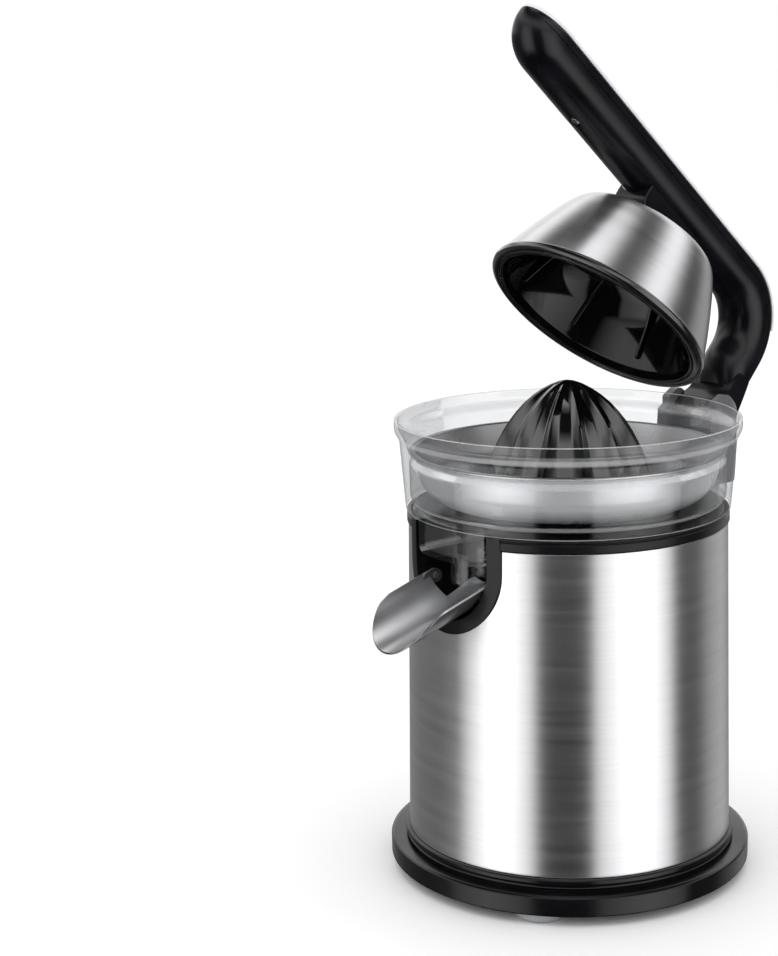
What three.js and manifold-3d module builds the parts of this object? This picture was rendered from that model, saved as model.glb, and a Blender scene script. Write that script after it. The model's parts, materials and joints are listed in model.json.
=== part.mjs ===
// Citrus press juicer: a motor housing with a lever arm that presses half a fruit onto a turning reamer.
// Millimetres, +Z up. The juice spout faces -Y and the arm's hinge is at +Y. Everything is drawn about the
// motor housing's axis; the whole is then moved so that the origin is in the middle of its footprint, on
// the table. The arm stands open; closed, it lies level over the reamer.
import * as THREE from 'three';
import { mergeVertices } from 'three/addons/utils/BufferGeometryUtils.js';
import Module from 'manifold-3d';

const wasm = await Module();
wasm.setup();

// ---------------------------------------------------------------- driving dimensions
const SIDES = 32;                 // flat sides of the large round parts
const FINE = 12;                  // flat sides of pins, screws and bushes
const GAP = 0.3;                  // space between two pieces that touch
const MANY = 400;                 // longer than any piece, for cutting right through
const FOOTPRINT_MIDDLE = 10.9;    // the middle of the open juicer's length, behind the housing's axis

const BASE = { radius: 92, bottom: 5, top: 15.1, seat: 20.7 };
const BODY = { bottom: 21, top: 180.2, bottomRadius: 82.3, topRadius: 80, wall: 0.8 };
const NOTCH = { outer: 32.8, inner: 26.3, bottom: 135.5, back: -48 };
const DECK = { top: 186.5, thickness: 3, radius: 78.1, chimneyRadius: 11.5, chimneyTop: 205.5 };
const TRIM = { outer: 80.7, inner: 78.4, face: 81.2, back: 77 };
const COLLECTOR = { floor: 186.9, rim: 232, rimRadius: 86.5, wall: 2.2, tube: 12.6 };
const NOZZLE = { y: -63, outer: 10.6, inner: 8.8, bottom: 158 };
const STRAINER = { rim: 216.2, floor: 190.4, collar: 19.4 };
const REAMER = { bottom: 198, top: 250, ribs: 12 };
const SHAFT = { radius: 4, bottom: 141.4, top: 225 };
const SPOUT = { pivotY: -69.5, pivotZ: 158.5, edgeY: -78, edgeZ: 160, slope: 16.5, arc: 23.2, half: 21.3, length: 47 };
const HINGE = { y: 98, z: 219.5, open: 41.7, pinRadius: 3, eyeRadius: 9.4 };
const ARM = { half: 13.8, depth: 20.5, back: 102.6, top: 295, bend: 37.6, tipStart: -112, tip: -135 };
const CUP = { mouth: 210.6, height: 51, fins: 8 };
const PLATE = { bottom: 147, top: 150 };
const IDLER = { x: 20.22, y: 31.58 };
const MOTOR = { y: 44.5, radius: 31 };
const OUTPUT_GEAR = { teeth: 40, module: 1.5 };
const IDLER_PINION = { teeth: 10, module: 1.5 };
const IDLER_WHEEL = { teeth: 32, module: 1.2 };
const MOTOR_PINION = { teeth: 8, module: 1.2 };

const degrees = Math.PI / 180;
const bodyRadius = (z) => THREE.MathUtils.mapLinear(z, BODY.bottom, BODY.top, BODY.bottomRadius, BODY.topRadius);

// ---------------------------------------------------------------- solids from three.js shapes
// A closed mesh becomes a solid: shared corners are merged, triangles with no area are dropped,
// and an inside-out mesh is turned round.
function solid(geometry) {
  const bare = new THREE.BufferGeometry();
  bare.setAttribute('position', geometry.getAttribute('position'));
  if (geometry.index) bare.setIndex(geometry.index);
  const merged = mergeVertices(bare, 1e-4);
  const points = merged.getAttribute('position').array;
  const corners = merged.index.array;
  const [a, b, c] = [new THREE.Vector3(), new THREE.Vector3(), new THREE.Vector3()];
  const triangles = [];
  let volume = 0;
  for (let i = 0; i < corners.length; i += 3) {
    const [p, q, r] = [corners[i], corners[i + 1], corners[i + 2]];
    if (p === q || q === r || r === p) continue;
    triangles.push(p, q, r);
    volume += a.fromArray(points, 3 * p).dot(b.fromArray(points, 3 * q).cross(c.fromArray(points, 3 * r)));
  }
  if (volume < 0) triangles.reverse();
  return new wasm.Manifold(new wasm.Mesh({
    numProp: 3,
    vertProperties: Float32Array.from(points),
    triVerts: Uint32Array.from(triangles),
  }));
}

function geometryOf(manifold) {
  const mesh = manifold.getMesh();
  const geometry = new THREE.BufferGeometry();
  geometry.setAttribute('position', new THREE.BufferAttribute(mesh.vertProperties, 3));
  geometry.setIndex(new THREE.BufferAttribute(mesh.triVerts, 1));
  geometry.computeVertexNormals();
  return geometry;
}

const join = (...parts) => parts.reduce((whole, part) => whole.add(part));
const cut = (whole, ...tools) => tools.reduce((left, tool) => left.subtract(tool), whole);

// A profile of [radius, z] corners turned round the Z axis.
function revolve(profile, sides = SIDES, x = 0, y = 0) {
  const closed = [...profile, profile[0]].map(([r, z]) => new THREE.Vector2(r, z));
  return solid(new THREE.LatheGeometry(closed, sides).rotateX(Math.PI / 2).translate(x, y, 0));
}

const tube = (outer, inner, z0, z1, sides = SIDES, x = 0, y = 0) =>
  revolve([[outer, z0], [outer, z1], [inner, z1], [inner, z0]], sides, x, y);

// A round bar between two points on a line parallel to X, Y or Z.
function bar(axis, radius, from, to, place, sides = FINE) {
  const rod = new THREE.CylinderGeometry(radius, radius, to - from, sides).translate(0, (from + to) / 2, 0);
  if (axis === 'z') rod.rotateX(Math.PI / 2);
  if (axis === 'x') rod.rotateZ(-Math.PI / 2);
  return solid(rod.translate(...place));
}

const barZ = (radius, z0, z1, x = 0, y = 0, sides = FINE) => bar('z', radius, z0, z1, [x, y, 0], sides);
const barX = (radius, x0, x1, y, z, sides = FINE) => bar('x', radius, x0, x1, [0, y, z], sides);
const barY = (radius, y0, y1, x, z, sides = FINE) => bar('y', radius, y0, y1, [x, 0, z], sides);

function block([x0, x1], [y0, y1], [z0, z1]) {
  const box = new THREE.BoxGeometry(x1 - x0, y1 - y0, z1 - z0);
  return solid(box.translate((x0 + x1) / 2, (y0 + y1) / 2, (z0 + z1) / 2));
}

function extrude(outline, depth, holes = []) {
  const shape = new THREE.Shape(outline.map(([u, v]) => new THREE.Vector2(u, v)));
  shape.holes = holes.map((hole) => new THREE.Path(hole.map(([u, v]) => new THREE.Vector2(u, v))));
  return new THREE.ExtrudeGeometry(shape, { depth, bevelEnabled: false });
}

// Outlines drawn in the plane across X, Y or Z and pulled along it.
const YZ_ALONG_X = new THREE.Matrix4().set(0, 0, 1, 0, 1, 0, 0, 0, 0, 1, 0, 0, 0, 0, 0, 1);
const prismX = (outline, x0, x1) => solid(extrude(outline, x1 - x0).applyMatrix4(YZ_ALONG_X).translate(x0, 0, 0));
const prismY = (outline, y0, y1) => solid(extrude(outline, y1 - y0).rotateX(Math.PI / 2).translate(0, y1, 0));
const prismZ = (outline, z0, z1, holes) => solid(extrude(outline, z1 - z0, holes).translate(0, 0, z0));

const circle = (radius, count, turn = 0) => Array.from({ length: count }, (_, i) => {
  const angle = turn + 2 * Math.PI * i / count;
  return [radius * Math.cos(angle), radius * Math.sin(angle)];
});

// Rings of equal point count joined into one skin, closed by a flat fan at each end.
function loft(rings) {
  const count = rings[0].length;
  const index = [];
  for (let ring = 0; ring + 1 < rings.length; ring += 1) {
    for (let i = 0; i < count; i += 1) {
      const [a, b] = [ring * count + i, ring * count + (i + 1) % count];
      index.push(a, b, b + count, a, b + count, a + count);
    }
  }
  const last = (rings.length - 1) * count;
  for (let i = 1; i + 1 < count; i += 1) {
    index.push(0, i + 1, i, last, last + i, last + i + 1);
  }
  const geometry = new THREE.BufferGeometry();
  geometry.setAttribute('position', new THREE.Float32BufferAttribute(rings.flat(2), 3));
  geometry.setIndex(index);
  return solid(geometry);
}

// A shaft with a flat on its +X side, or the hole for one.
const keyed = (radius, flat, z0, z1) =>
  cut(barZ(radius, z0, z1), block([flat, MANY], [-MANY, MANY], [z0 - 1, z1 + 1]));

// ---------------------------------------------------------------- the scene graph
const colours = {
  steel: { color: 0xc9cacc, roughness: 0.3, metalness: 1 },
  black: { color: 0x1b1b1d, roughness: 0.45, metalness: 0 },
  gloss: { color: 0x0c0c0d, roughness: 0.12, metalness: 0 },
  clear: { color: 0xe6ebee, roughness: 0.05, metalness: 0, transparent: true, opacity: 0.35 },
  silver: { color: 0xd6d7d8, roughness: 0.25, metalness: 1 },
  rubber: { color: 0x8e9194, roughness: 0.8, metalness: 0 },
  seal: { color: 0x2a2a2b, roughness: 0.85, metalness: 0 },
  bronze: { color: 0xa9793f, roughness: 0.45, metalness: 1 },
  nylon: { color: 0xe4e0d2, roughness: 0.55, metalness: 0 },
  zinc: { color: 0xa8abae, roughness: 0.4, metalness: 1 },
  core: { color: 0x6c6f73, roughness: 0.5, metalness: 1 },
};
const materials = Object.fromEntries(
  Object.entries(colours).map(([name, values]) => [name, new THREE.MeshStandardMaterial({ name, ...values })]));

const juicer = new THREE.Group();
juicer.name = 'citrus_press_juicer';
juicer.position.y = -FOOTPRINT_MIDDLE;

function add(parent, name, manifold, material) {
  const mesh = new THREE.Mesh(geometryOf(manifold), materials[material]);
  mesh.name = name;
  parent.add(mesh);
}

// Everything on the arm is drawn with the arm closed and swings open about the hinge.
const armPivot = new THREE.Group();
armPivot.position.set(0, HINGE.y, HINGE.z);
armPivot.rotation.x = -HINGE.open * degrees;
const closedArm = new THREE.Group();
closedArm.position.set(0, -HINGE.y, -HINGE.z);
armPivot.add(closedArm);
juicer.add(armPivot);

// ---------------------------------------------------------------- base
const FOOT = { x: 46.5, y: 62.6, radius: 12.5, top: 4.7, plug: 4.2, plugTop: 7.7 };
const footPlaces = {
  foot_front_right: [1, -1], foot_front_left: [-1, -1], foot_rear_right: [1, 1], foot_rear_left: [-1, 1],
};

function baseRing() {
  return revolve([
    [88.2, BASE.bottom], [BASE.radius, BASE.bottom], [BASE.radius, 14.2], [91.1, BASE.top], [82.9, 15.9],
    [82.9, 17.5], [84.6, 17.8], [84.6, BASE.seat], [81.2, BASE.seat], [81.2, 30], [78.6, 30], [78.6, 8], [88.2, 8],
  ], 2 * SIDES);
}

function bottomCover() {
  const vents = [-3, -2, -1, 0, 1, 2, 3].map((row) => block([-24, 24], [row * 9 - 1.6, row * 9 + 1.6], [0, 20]));
  const plugHoles = Object.values(footPlaces).map(([x, y]) =>
    barZ(FOOT.plug + GAP, 0, 20, x * FOOT.x, y * FOOT.y));
  return cut(revolve([[0, 5.3], [87.9, 5.3], [87.9, 7.7], [0, 7.7]]), ...vents, ...plugHoles);
}

// A rubber foot: a tapered pad under the cover with a plug pressed up into its hole.
const foot = ([x, y]) => revolve([
  [0, 0], [FOOT.radius - 1.2, 0], [FOOT.radius, FOOT.top],
  [FOOT.plug, FOOT.top], [FOOT.plug, FOOT.plugTop], [0, FOOT.plugTop],
], 16, x * FOOT.x, y * FOOT.y);

const GLAND = { z: 44, hole: 7.2 };
const cordGland = () => cut(
  join(barY(6.7, 75.5, 84, 0, GLAND.z), barY(9, 82.5, 85.5, 0, GLAND.z), barY(8.6, 75.5, 80.3, 0, GLAND.z)),
  barY(3.4, 70, 90, 0, GLAND.z, 12));

const terminalBlock = () => cut(
  block([-17, 17], [-68, -54], [8, 21]),
  ...[-11, 0, 11].map((x) => barZ(3, 15, 25, x, -61, 12)));

add(juicer, 'base_ring', baseRing(), 'black');
add(juicer, 'bottom_cover', bottomCover(), 'black');
for (const [name, place] of Object.entries(footPlaces)) add(juicer, name, foot(place), 'rubber');
add(juicer, 'cord_gland', cordGland(), 'seal');
add(juicer, 'terminal_block', terminalBlock(), 'nylon');

// ---------------------------------------------------------------- body sleeve, trim and deck
// The notch: straight sides down to a half-round bottom, drawn across Y.
function notchOutline(half, bottom, top = 260) {
  const centre = bottom + half;
  const arc = Array.from({ length: 19 }, (_, i) => {
    const angle = Math.PI + i * Math.PI / 18;
    return [half * Math.cos(angle), centre + half * Math.sin(angle)];
  });
  return [[-half, top], ...arc, [half, top]];
}

const TOWER_SCREW = { x: 9, z: 164, radius: 2.2 };

function bodySleeve() {
  const sleeve = revolve([
    [BODY.bottomRadius, BODY.bottom], [BODY.topRadius, BODY.top],
    [BODY.topRadius - BODY.wall, BODY.top], [BODY.bottomRadius - BODY.wall, BODY.bottom],
  ], 2 * SIDES);
  const screwHoles = [-1, 1].map((side) =>
    barY(TOWER_SCREW.radius + GAP, 60, 90, side * TOWER_SCREW.x, TOWER_SCREW.z, 12));
  return cut(sleeve,
    prismY(notchOutline(NOTCH.outer + GAP, NOTCH.bottom - GAP), -90, -50),
    barY(GLAND.hole, 60, 90, 0, GLAND.z), ...screwHoles);
}

// The black ring on the sleeve's top edge, and the U-shaped frame that lines the notch.
function trimRing() {
  const ring = tube(TRIM.outer, TRIM.inner, BODY.top + GAP, DECK.top);
  const frame = prismY(notchOutline(NOTCH.outer, NOTCH.bottom, DECK.top), -90, -50)
    .intersect(tube(TRIM.face, TRIM.back, 120, 200));
  return cut(join(ring, frame), prismY(notchOutline(NOTCH.inner, NOTCH.bottom + NOTCH.outer - NOTCH.inner), -90, -50));
}

// The deck closes the housing. Its spout pocket hangs behind the notch, and a chimney carries the shaft.
function deck() {
  const pocketFloor = NOTCH.bottom + NOTCH.outer - NOTCH.inner;
  const plate = revolve([
    [DECK.radius, 170], [DECK.radius, DECK.top], [0, DECK.top], [0, DECK.top - DECK.thickness],
    [DECK.radius - 2.4, DECK.top - DECK.thickness], [DECK.radius - 2.4, 170],
  ]);
  const pocket = prismY(notchOutline(NOTCH.inner + 2.4, pocketFloor - 2.4, DECK.top), -90, NOTCH.back + 2.5)
    .intersect(barZ(TRIM.back - GAP, 100, DECK.top, 0, 0, SIDES));
  const hollow = prismY(notchOutline(NOTCH.inner, pocketFloor), -90, NOTCH.back);
  const spigotGap = prismY(notchOutline(NOTCH.outer + GAP, NOTCH.bottom - GAP), -90, -TRIM.back + 8)
    .subtract(barZ(TRIM.back - GAP, 100, 260, 0, 0, SIDES));
  const chimney = barZ(DECK.chimneyRadius, DECK.top - 1, DECK.chimneyTop, 0, 0, 16);
  const gearBoss = barZ(13, 172, DECK.top - 1, 0, 0, 16);
  const pivots = barX(2.1, -40, 40, SPOUT.pivotY, SPOUT.pivotZ, 12);
  return cut(join(plate, pocket, chimney, gearBoss), hollow, spigotGap, pivots,
    barZ(8, 189, 210, 0, 0, 16), barZ(10, 170, 181, 0, 0, 16), barZ(5, 170, 210, 0, 0, 16));
}

add(juicer, 'body_sleeve', bodySleeve(), 'steel');
add(juicer, 'trim_ring', trimRing(), 'black');
add(juicer, 'deck', deck(), 'black');

// ---------------------------------------------------------------- hinge tower
function hingeTower() {
  const cheekInside = 14.3;
  const cheekOutside = 19.3;
  const cheekOutline = [
    [82, 190], [84, 223], [87.5, 225], [87.5, 229.5], [95.5, 234.3], [106.8, 225], [106.8, 200], [104.5, 187],
    [96, 170], [84, 152], [80, 152],
  ];
  const whole = prismX(cheekOutline, -cheekOutside, cheekOutside);
  const slot = prismX([[88, 190], [MANY, 208], [MANY, MANY], [60, MANY], [60, 222.5], [88, 222.5]],
    -cheekInside, cheekInside);
  const plan = [
    [cheekOutside, 78], [cheekOutside, 100], [15.5, MANY], [-15.5, MANY], [-cheekOutside, 100], [-cheekOutside, 78],
  ];
  const upper = prismZ(plan.map(([x, y]) => [x, Math.min(y, 108)]), DECK.top, 240);
  const lower = prismZ([[16.5, 78], [16.5, 88], [7, 105], [-7, 105], [-16.5, 88], [-16.5, 78]], 140, DECK.top + 4);
  const clearOfBody = revolve([
    [0, 140], [bodyRadius(140) + GAP, 140], [bodyRadius(BODY.top) + GAP, BODY.top], [TRIM.face, BODY.top + 0.1],
    [TRIM.face, DECK.top + 0.1], [82.4, DECK.top + 0.2], [84.9, 223], [0, 223],
  ], 2 * SIDES);
  const pinHole = barX(HINGE.pinRadius + GAP, -18.1, 18.1, HINGE.y, HINGE.z);
  const screwHoles = [-1, 1].map((side) =>
    barY(TOWER_SCREW.radius - 0.2 + GAP, 60, 89, side * TOWER_SCREW.x, TOWER_SCREW.z, 12));
  return cut(whole.intersect(join(upper, lower)), slot, clearOfBody, pinHole, ...screwHoles);
}

const towerScrew = (side) => join(
  barY(TOWER_SCREW.radius - 0.2, 75, 88.6, side * TOWER_SCREW.x, TOWER_SCREW.z, 12),
  barY(4, 72, 75, side * TOWER_SCREW.x, TOWER_SCREW.z, 12));

function towerBackplate() {
  const plate = tube(78.7, 76.6, 157, 169.4, SIDES).intersect(block([-18, 18], [60, 90], [150, 180]));
  return cut(plate, ...[-1, 1].map((side) =>
    barY(TOWER_SCREW.radius + 0.1, 60, 90, side * TOWER_SCREW.x, TOWER_SCREW.z, 12)));
}

add(juicer, 'hinge_tower', hingeTower(), 'black');
add(juicer, 'tower_backplate', towerBackplate(), 'zinc');
add(juicer, 'tower_screw_left', towerScrew(-1), 'zinc');
add(juicer, 'tower_screw_right', towerScrew(1), 'zinc');
add(juicer, 'hinge_pin', barX(HINGE.pinRadius, -17.8, 17.8, HINGE.y, HINGE.z), 'zinc');

// ---------------------------------------------------------------- juice path: collector, strainer, spout
function collector() {
  const { floor, rim, rimRadius, wall, tube: tubeRadius } = COLLECTOR;
  const bowl = revolve([
    [tubeRadius, floor], [81.2, floor], [81.6, 192], [84, 222], [rimRadius, 226.5], [rimRadius, rim],
    [84.8, rim], [84.6, 227.6], [81.6, 222], [79.4, 214.9], [77, 214.9], [77, 213.2], [79.2, 210],
    [78.9, 192], [77, floor + wall], [tubeRadius + wall, floor + wall], [tubeRadius + wall, 200], [tubeRadius, 200],
  ]);
  const chute = block([-24.6, 24.6], [-90, -50.4], [171, floor + 1])
    .intersect(barZ(80.4, 160, 200, 0, 0, SIDES));
  const chuteInside = block([-22.4, 22.4], [-90, -52.6], [173.2, floor + wall + 0.5])
    .intersect(barZ(78.2, 160, 200, 0, 0, SIDES));
  const nozzle = barZ(NOZZLE.outer, NOZZLE.bottom, 172, 0, NOZZLE.y, 16);
  const nozzleBore = barZ(NOZZLE.inner, 150, 180, 0, NOZZLE.y, 16);
  return cut(join(bowl, chute, nozzle), chuteInside, nozzleBore);
}

// A pressed steel bowl with a rolled rim, a raised collar round the shaft and rows of slots in its floor.
function strainer() {
  const { rim, floor, collar } = STRAINER;
  const bowl = revolve([
    [75.8, rim], [78.9, rim], [78.9, rim - 1], [76.7, rim - 1], [73.8, 200.5], [70.2, 194.4], [63, floor],
    [collar, floor], [collar, 197], [collar + 1, 197], [collar + 1, floor + 1], [62.7, floor + 1],
    [69.4, 195.1], [72.9, 200.9],
  ]);
  const slots = Array.from({ length: 16 }, (_, i) => {
    const slot = new THREE.BoxGeometry(18, 2.6, 12).translate(38, 0, floor).rotateZ((i + 0.5) * Math.PI / 8);
    return solid(slot);
  });
  return cut(bowl, ...slots);
}

// The spout is a steel trough that folds up about two pins through its rear ears. It is drawn level, with
// its edges at z = 0 and its rear end at y = 0, then tilted and moved into the notch.
function spout() {
  const { arc, half, length, slope, pivotY, pivotZ, edgeY, edgeZ } = SPOUT;
  const wall = 1.2;
  const spread = Math.asin(half / arc);
  const centre = arc * Math.cos(spread);
  const depth = arc - centre;
  const steps = 14;
  const along = (radius, i) => {
    const angle = -spread + 2 * spread * i / steps;
    return [radius * Math.sin(angle), centre - radius * Math.cos(angle)];
  };
  const inside = Array.from({ length: steps + 1 }, (_, i) => along(arc, i));
  const outside = Array.from({ length: steps + 1 }, (_, i) => along(arc + wall, i)).reverse();
  const trough = prismY([...inside, ...outside], -length, 0);

  // Seen from above, the front end is a rounded lip.
  const lipLength = 26;
  const side = half + 1.4;
  const lip = Array.from({ length: 13 }, (_, i) => {
    const angle = Math.PI + i * Math.PI / 12;
    return [side * Math.cos(angle), lipLength - length + lipLength * Math.sin(angle)];
  });
  const plan = prismZ([[-side, 8], ...lip, [side, 8]], -40, 20);

  // A narrower scoop runs back under the nozzle and curls up behind it.
  const scoopRings = [[-0.5, 0.2, 11], [7, 0.9, 11], [12.5, 2.6, 10], [15.6, 4.8, 6]];
  const scoop = loft(scoopRings.map(([y, rise, reach]) => {
    const z = rise - depth;
    return [[-reach, y, z], [-reach, y + 0.5, z - wall], [reach, y + 0.5, z - wall], [reach, y, z]];
  }));
  const tilted = join(trough.intersect(plan), scoop)
    .rotate([slope, 0, 0]).translate([0, edgeY + 3.5, edgeZ + 3.5 * Math.tan(slope * degrees)]);

  const earOutline = [
    [edgeY + 0.5, edgeZ - 0.2], [pivotY - 1, pivotZ + 3.9], [pivotY + 3.6, pivotZ + 2], [pivotY + 3.6, pivotZ - 2.4],
    [pivotY + 1, pivotZ - 3.8], [edgeY + 1, edgeZ - 5.2],
  ];
  const ears = [-1, 1].map((hand) => {
    const [near, far] = [half - 1.3, half - 0.1].map((x) => hand * x).sort((p, q) => p - q);
    return prismX(earOutline, near, far);
  });
  return cut(join(tilted, ...ears), barX(2.1, -40, 40, pivotY, pivotZ, 12));
}

add(juicer, 'collector', collector(), 'clear');
add(juicer, 'strainer', strainer(), 'steel');
add(juicer, 'spout', spout(), 'steel');
add(juicer, 'spout_pivot_left', barX(1.8, -28.4, -19.8, SPOUT.pivotY, SPOUT.pivotZ, 12), 'zinc');
add(juicer, 'spout_pivot_right', barX(1.8, 19.8, 28.4, SPOUT.pivotY, SPOUT.pivotZ, 12), 'zinc');

// ---------------------------------------------------------------- reamer and drive shaft
// The ribbed dome: each ring's radius swings between a rib and the groove beside it.
function reamerDome() {
  const levels = [
    [REAMER.bottom, 42, 0], [200, 42.3, 0], [201.2, 42.2, 0.12], [208, 40.6, 0.165], [219, 36, 0.18], [230, 29, 0.18],
    [238, 22, 0.18], [245, 13, 0.16], [REAMER.top, 2, 0],
  ];
  const count = 4 * REAMER.ribs;
  return loft(levels.map(([z, radius, groove]) => Array.from({ length: count }, (_, i) => {
    const angle = 2 * Math.PI * i / count;
    const depth = groove * (0.5 - 0.5 * Math.cos(angle * REAMER.ribs));
    return [radius * (1 - depth) * Math.cos(angle), radius * (1 - depth) * Math.sin(angle), z];
  })));
}

const HUB = { bottom: 208.8, top: 226.4, radius: 9 };

function reamer() {
  const hollow = revolve([[0, 190], [34.2, 190], [34, 203], [31.4, 211], [22, 228], [12, 234.2], [0, 236]], 16);
  const skirt = tube(17.4, 15.4, 194, 232.5, 16);
  const boss = barZ(12.5, HUB.bottom, 236.5, 0, 0, 16);
  const socket = prismZ(circle(HUB.radius + 0.4, 6), 190, HUB.top + 0.8);
  return cut(join(cut(reamerDome(), hollow), skirt, boss), socket);
}

const driveHub = () => cut(
  prismZ(circle(HUB.radius, 6), HUB.bottom, HUB.top),
  keyed(SHAFT.radius + GAP, 3.2 + GAP, HUB.bottom - 1, SHAFT.top + GAP));

const driveShaft = () => join(
  keyed(SHAFT.radius, 3.2, SHAFT.bottom, 184), barZ(SHAFT.radius, 184, 207),
  keyed(SHAFT.radius, 3.2, 207, SHAFT.top));

add(juicer, 'reamer', reamer(), 'gloss');
add(juicer, 'drive_hub', driveHub(), 'nylon');
add(juicer, 'drive_shaft', driveShaft(), 'zinc');
add(juicer, 'shaft_bush', tube(7.7, SHAFT.radius + GAP, 189.3, 201, 16), 'bronze');
add(juicer, 'shaft_seal', tube(7.7, SHAFT.radius + GAP, 201.4, 204.8, 16), 'seal');

// ---------------------------------------------------------------- gear train
// Tapered teeth, narrow enough to leave backlash in mesh; "turn" is the angle of the first tooth.
function gearOutline({ teeth, module }, turn) {
  const radius = teeth * module / 2;
  const corners = [[radius - 1.15 * module, 0.56], [radius + 0.8 * module, 0.2]];
  return Array.from({ length: teeth }, (_, i) => {
    const middle = turn + 2 * Math.PI * i / teeth;
    const half = Math.PI / teeth;
    const [[root, wide], [tip, narrow]] = corners;
    return [[root, -wide], [tip, -narrow], [tip, narrow], [root, wide]].map(([r, share]) =>
      [r * Math.cos(middle + share * half), r * Math.sin(middle + share * half)]);
  }).flat();
}

const gear = (size, turn, z0, z1, x = 0, y = 0) =>
  prismZ(gearOutline(size, turn), z0, z1).translate([x, y, 0]);

const toIdler = Math.atan2(IDLER.y, IDLER.x);
const toMotor = Math.atan2(MOTOR.y - IDLER.y, -IDLER.x);

function outputGear() {
  const hub = join(barZ(7, 147, 180, 0, 0, 16), barZ(9, 152, 172, 0, 0, 16));
  return cut(join(gear(OUTPUT_GEAR, toIdler, 159, 167), hub), keyed(SHAFT.radius + GAP, 3.2 + GAP, 140, 190));
}

function idlerGear() {
  const pinionTurn = toIdler + Math.PI + Math.PI / IDLER_PINION.teeth;
  const wheel = gear(IDLER_WHEEL, toMotor, 152, 157.5, IDLER.x, IDLER.y);
  const pinion = gear(IDLER_PINION, pinionTurn, 157, 170, IDLER.x, IDLER.y);
  return cut(join(wheel, pinion), barZ(3.2, 150, 175, IDLER.x, IDLER.y, FINE));
}

const motorPinion = () => cut(
  gear(MOTOR_PINION, toMotor + Math.PI + Math.PI / MOTOR_PINION.teeth, 151.5, 157.5, 0, MOTOR.y),
  barZ(2.8, 150, 160, 0, MOTOR.y, 12));

const posts = { gear_post_front_left: [-38, -30], gear_post_front_right: [38, -30], gear_post_rear: [-44, 30] };
const MOTOR_SCREW = { x: 20, radius: 1.8 };

function gearPlate() {
  const disc = barZ(60, PLATE.bottom, PLATE.top, 0, 8, SIDES);
  const pocketRoom = block([-30, 30], [-80, NOTCH.back + 3], [100, 200]);
  const holes = [
    barZ(10, 100, 200, 0, 0, 16), barZ(3.2, 100, 200, IDLER.x, IDLER.y), barZ(4, 100, 200, 0, MOTOR.y),
    ...[-1, 1].map((side) => barZ(2.1, 100, 200, side * MOTOR_SCREW.x, MOTOR.y, 12)),
    ...Object.values(posts).map(([x, y]) => barZ(2.3, 100, 200, x, y, 12)),
  ];
  return cut(disc, pocketRoom, ...holes);
}

const post = ([x, y]) => join(
  barZ(3.5, PLATE.top + GAP, DECK.top - DECK.thickness - GAP, x, y, 12), barZ(2, 145, 152, x, y, 12),
  barZ(3.6, 144, PLATE.bottom - GAP, x, y, 6));

const idlerPin = () => join(
  barZ(2.9, PLATE.bottom, 172, IDLER.x, IDLER.y), barZ(4.5, PLATE.top + GAP, 151.6, IDLER.x, IDLER.y));

add(juicer, 'gear_plate', gearPlate(), 'zinc');
for (const [name, place] of Object.entries(posts)) add(juicer, name, post(place), 'zinc');
add(juicer, 'idler_pin', idlerPin(), 'zinc');
add(juicer, 'idler_gear', idlerGear(), 'nylon');
add(juicer, 'output_gear', outputGear(), 'nylon');
add(juicer, 'gear_lower_bush', revolve([
  [9.7, 146.6], [9.7, 150.3], [12, 150.3], [12, 151.6], [7.3, 151.6], [7.3, 146.6],
], 16), 'bronze');
add(juicer, 'gear_upper_bush', tube(9.7, 7.3, 173, 180, 16), 'bronze');

// ---------------------------------------------------------------- press-to-start switch
const THRUST = { disc: 7.4, top: 141, stem: 2.6, bottom: 115.5 };
const SPRING = { radius: 5.4, wire: 0.6, turns: 4, bottom: 123.4, top: 135.5 };

function springHousing() {
  const cup = revolve([[3, 120], [10, 120], [10, 146.3], [8, 146.3], [8, 122.4], [3, 122.4]], 16);
  const leg = block([-10, 10], [-6.8, -4.2], [98, 122]);
  return join(cup, leg);
}

function returnSpring() {
  const { radius, wire, turns, bottom, top } = SPRING;
  class Coil extends THREE.Curve {
    getPoint(t, target = new THREE.Vector3()) {
      const angle = 2 * Math.PI * turns * t;
      return target.set(radius * Math.cos(angle), radius * Math.sin(angle), bottom + (top - bottom) * t);
    }
  }
  const section = new THREE.Shape(circle(wire, 5).map(([u, v]) => new THREE.Vector2(u, v)));
  return solid(new THREE.ExtrudeGeometry(section, { steps: 8 * turns, extrudePath: new Coil() }));
}

const thrustCup = () => join(
  barZ(THRUST.disc, 136.5, THRUST.top), barZ(THRUST.stem, THRUST.bottom, 137));

add(juicer, 'spring_housing', springHousing(), 'zinc');
add(juicer, 'return_spring', returnSpring(), 'zinc');
add(juicer, 'thrust_cup', thrustCup(), 'nylon');
add(juicer, 'microswitch', cut(block([-10, 10], [-3.9, 4.2], [98, 112]), barZ(1.9, 105, 120, 0, 0, 12)), 'black');
add(juicer, 'switch_plunger', barZ(1.6, 108, 115.2, 0, 0, 12), 'nylon');

// ---------------------------------------------------------------- motor
function motorBracket(open, closed) {
  const towards = Math.sign(open - closed);
  const at = (distance) => closed + towards * distance;
  return revolve([
    [MOTOR.radius, open], [MOTOR.radius, closed], [3.2, closed], [3.2, at(1.7)], [8.3, at(1.7)], [8.3, at(8.7)],
    [10.8, at(8.7)], [10.8, at(3.7)], [28.5, at(3.7)], [28.5, open],
  ], 20, 0, MOTOR.y);
}

const bearing = (z0, z1) => tube(8, 2.8, z0, z1, 16, 0, MOTOR.y);

function motorStator() {
  const core = tube(MOTOR.radius, 19, 92, 127.7, 20, 0, MOTOR.y);
  const coils = tube(27.6, 20, 84, 136, 20, 0, MOTOR.y);
  return join(core, coils);
}

const rotor = () => join(
  barZ(2.5, 60, 158, 0, MOTOR.y, 12), barZ(18.3, 93, 126.7, 0, MOTOR.y, 20));

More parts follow.
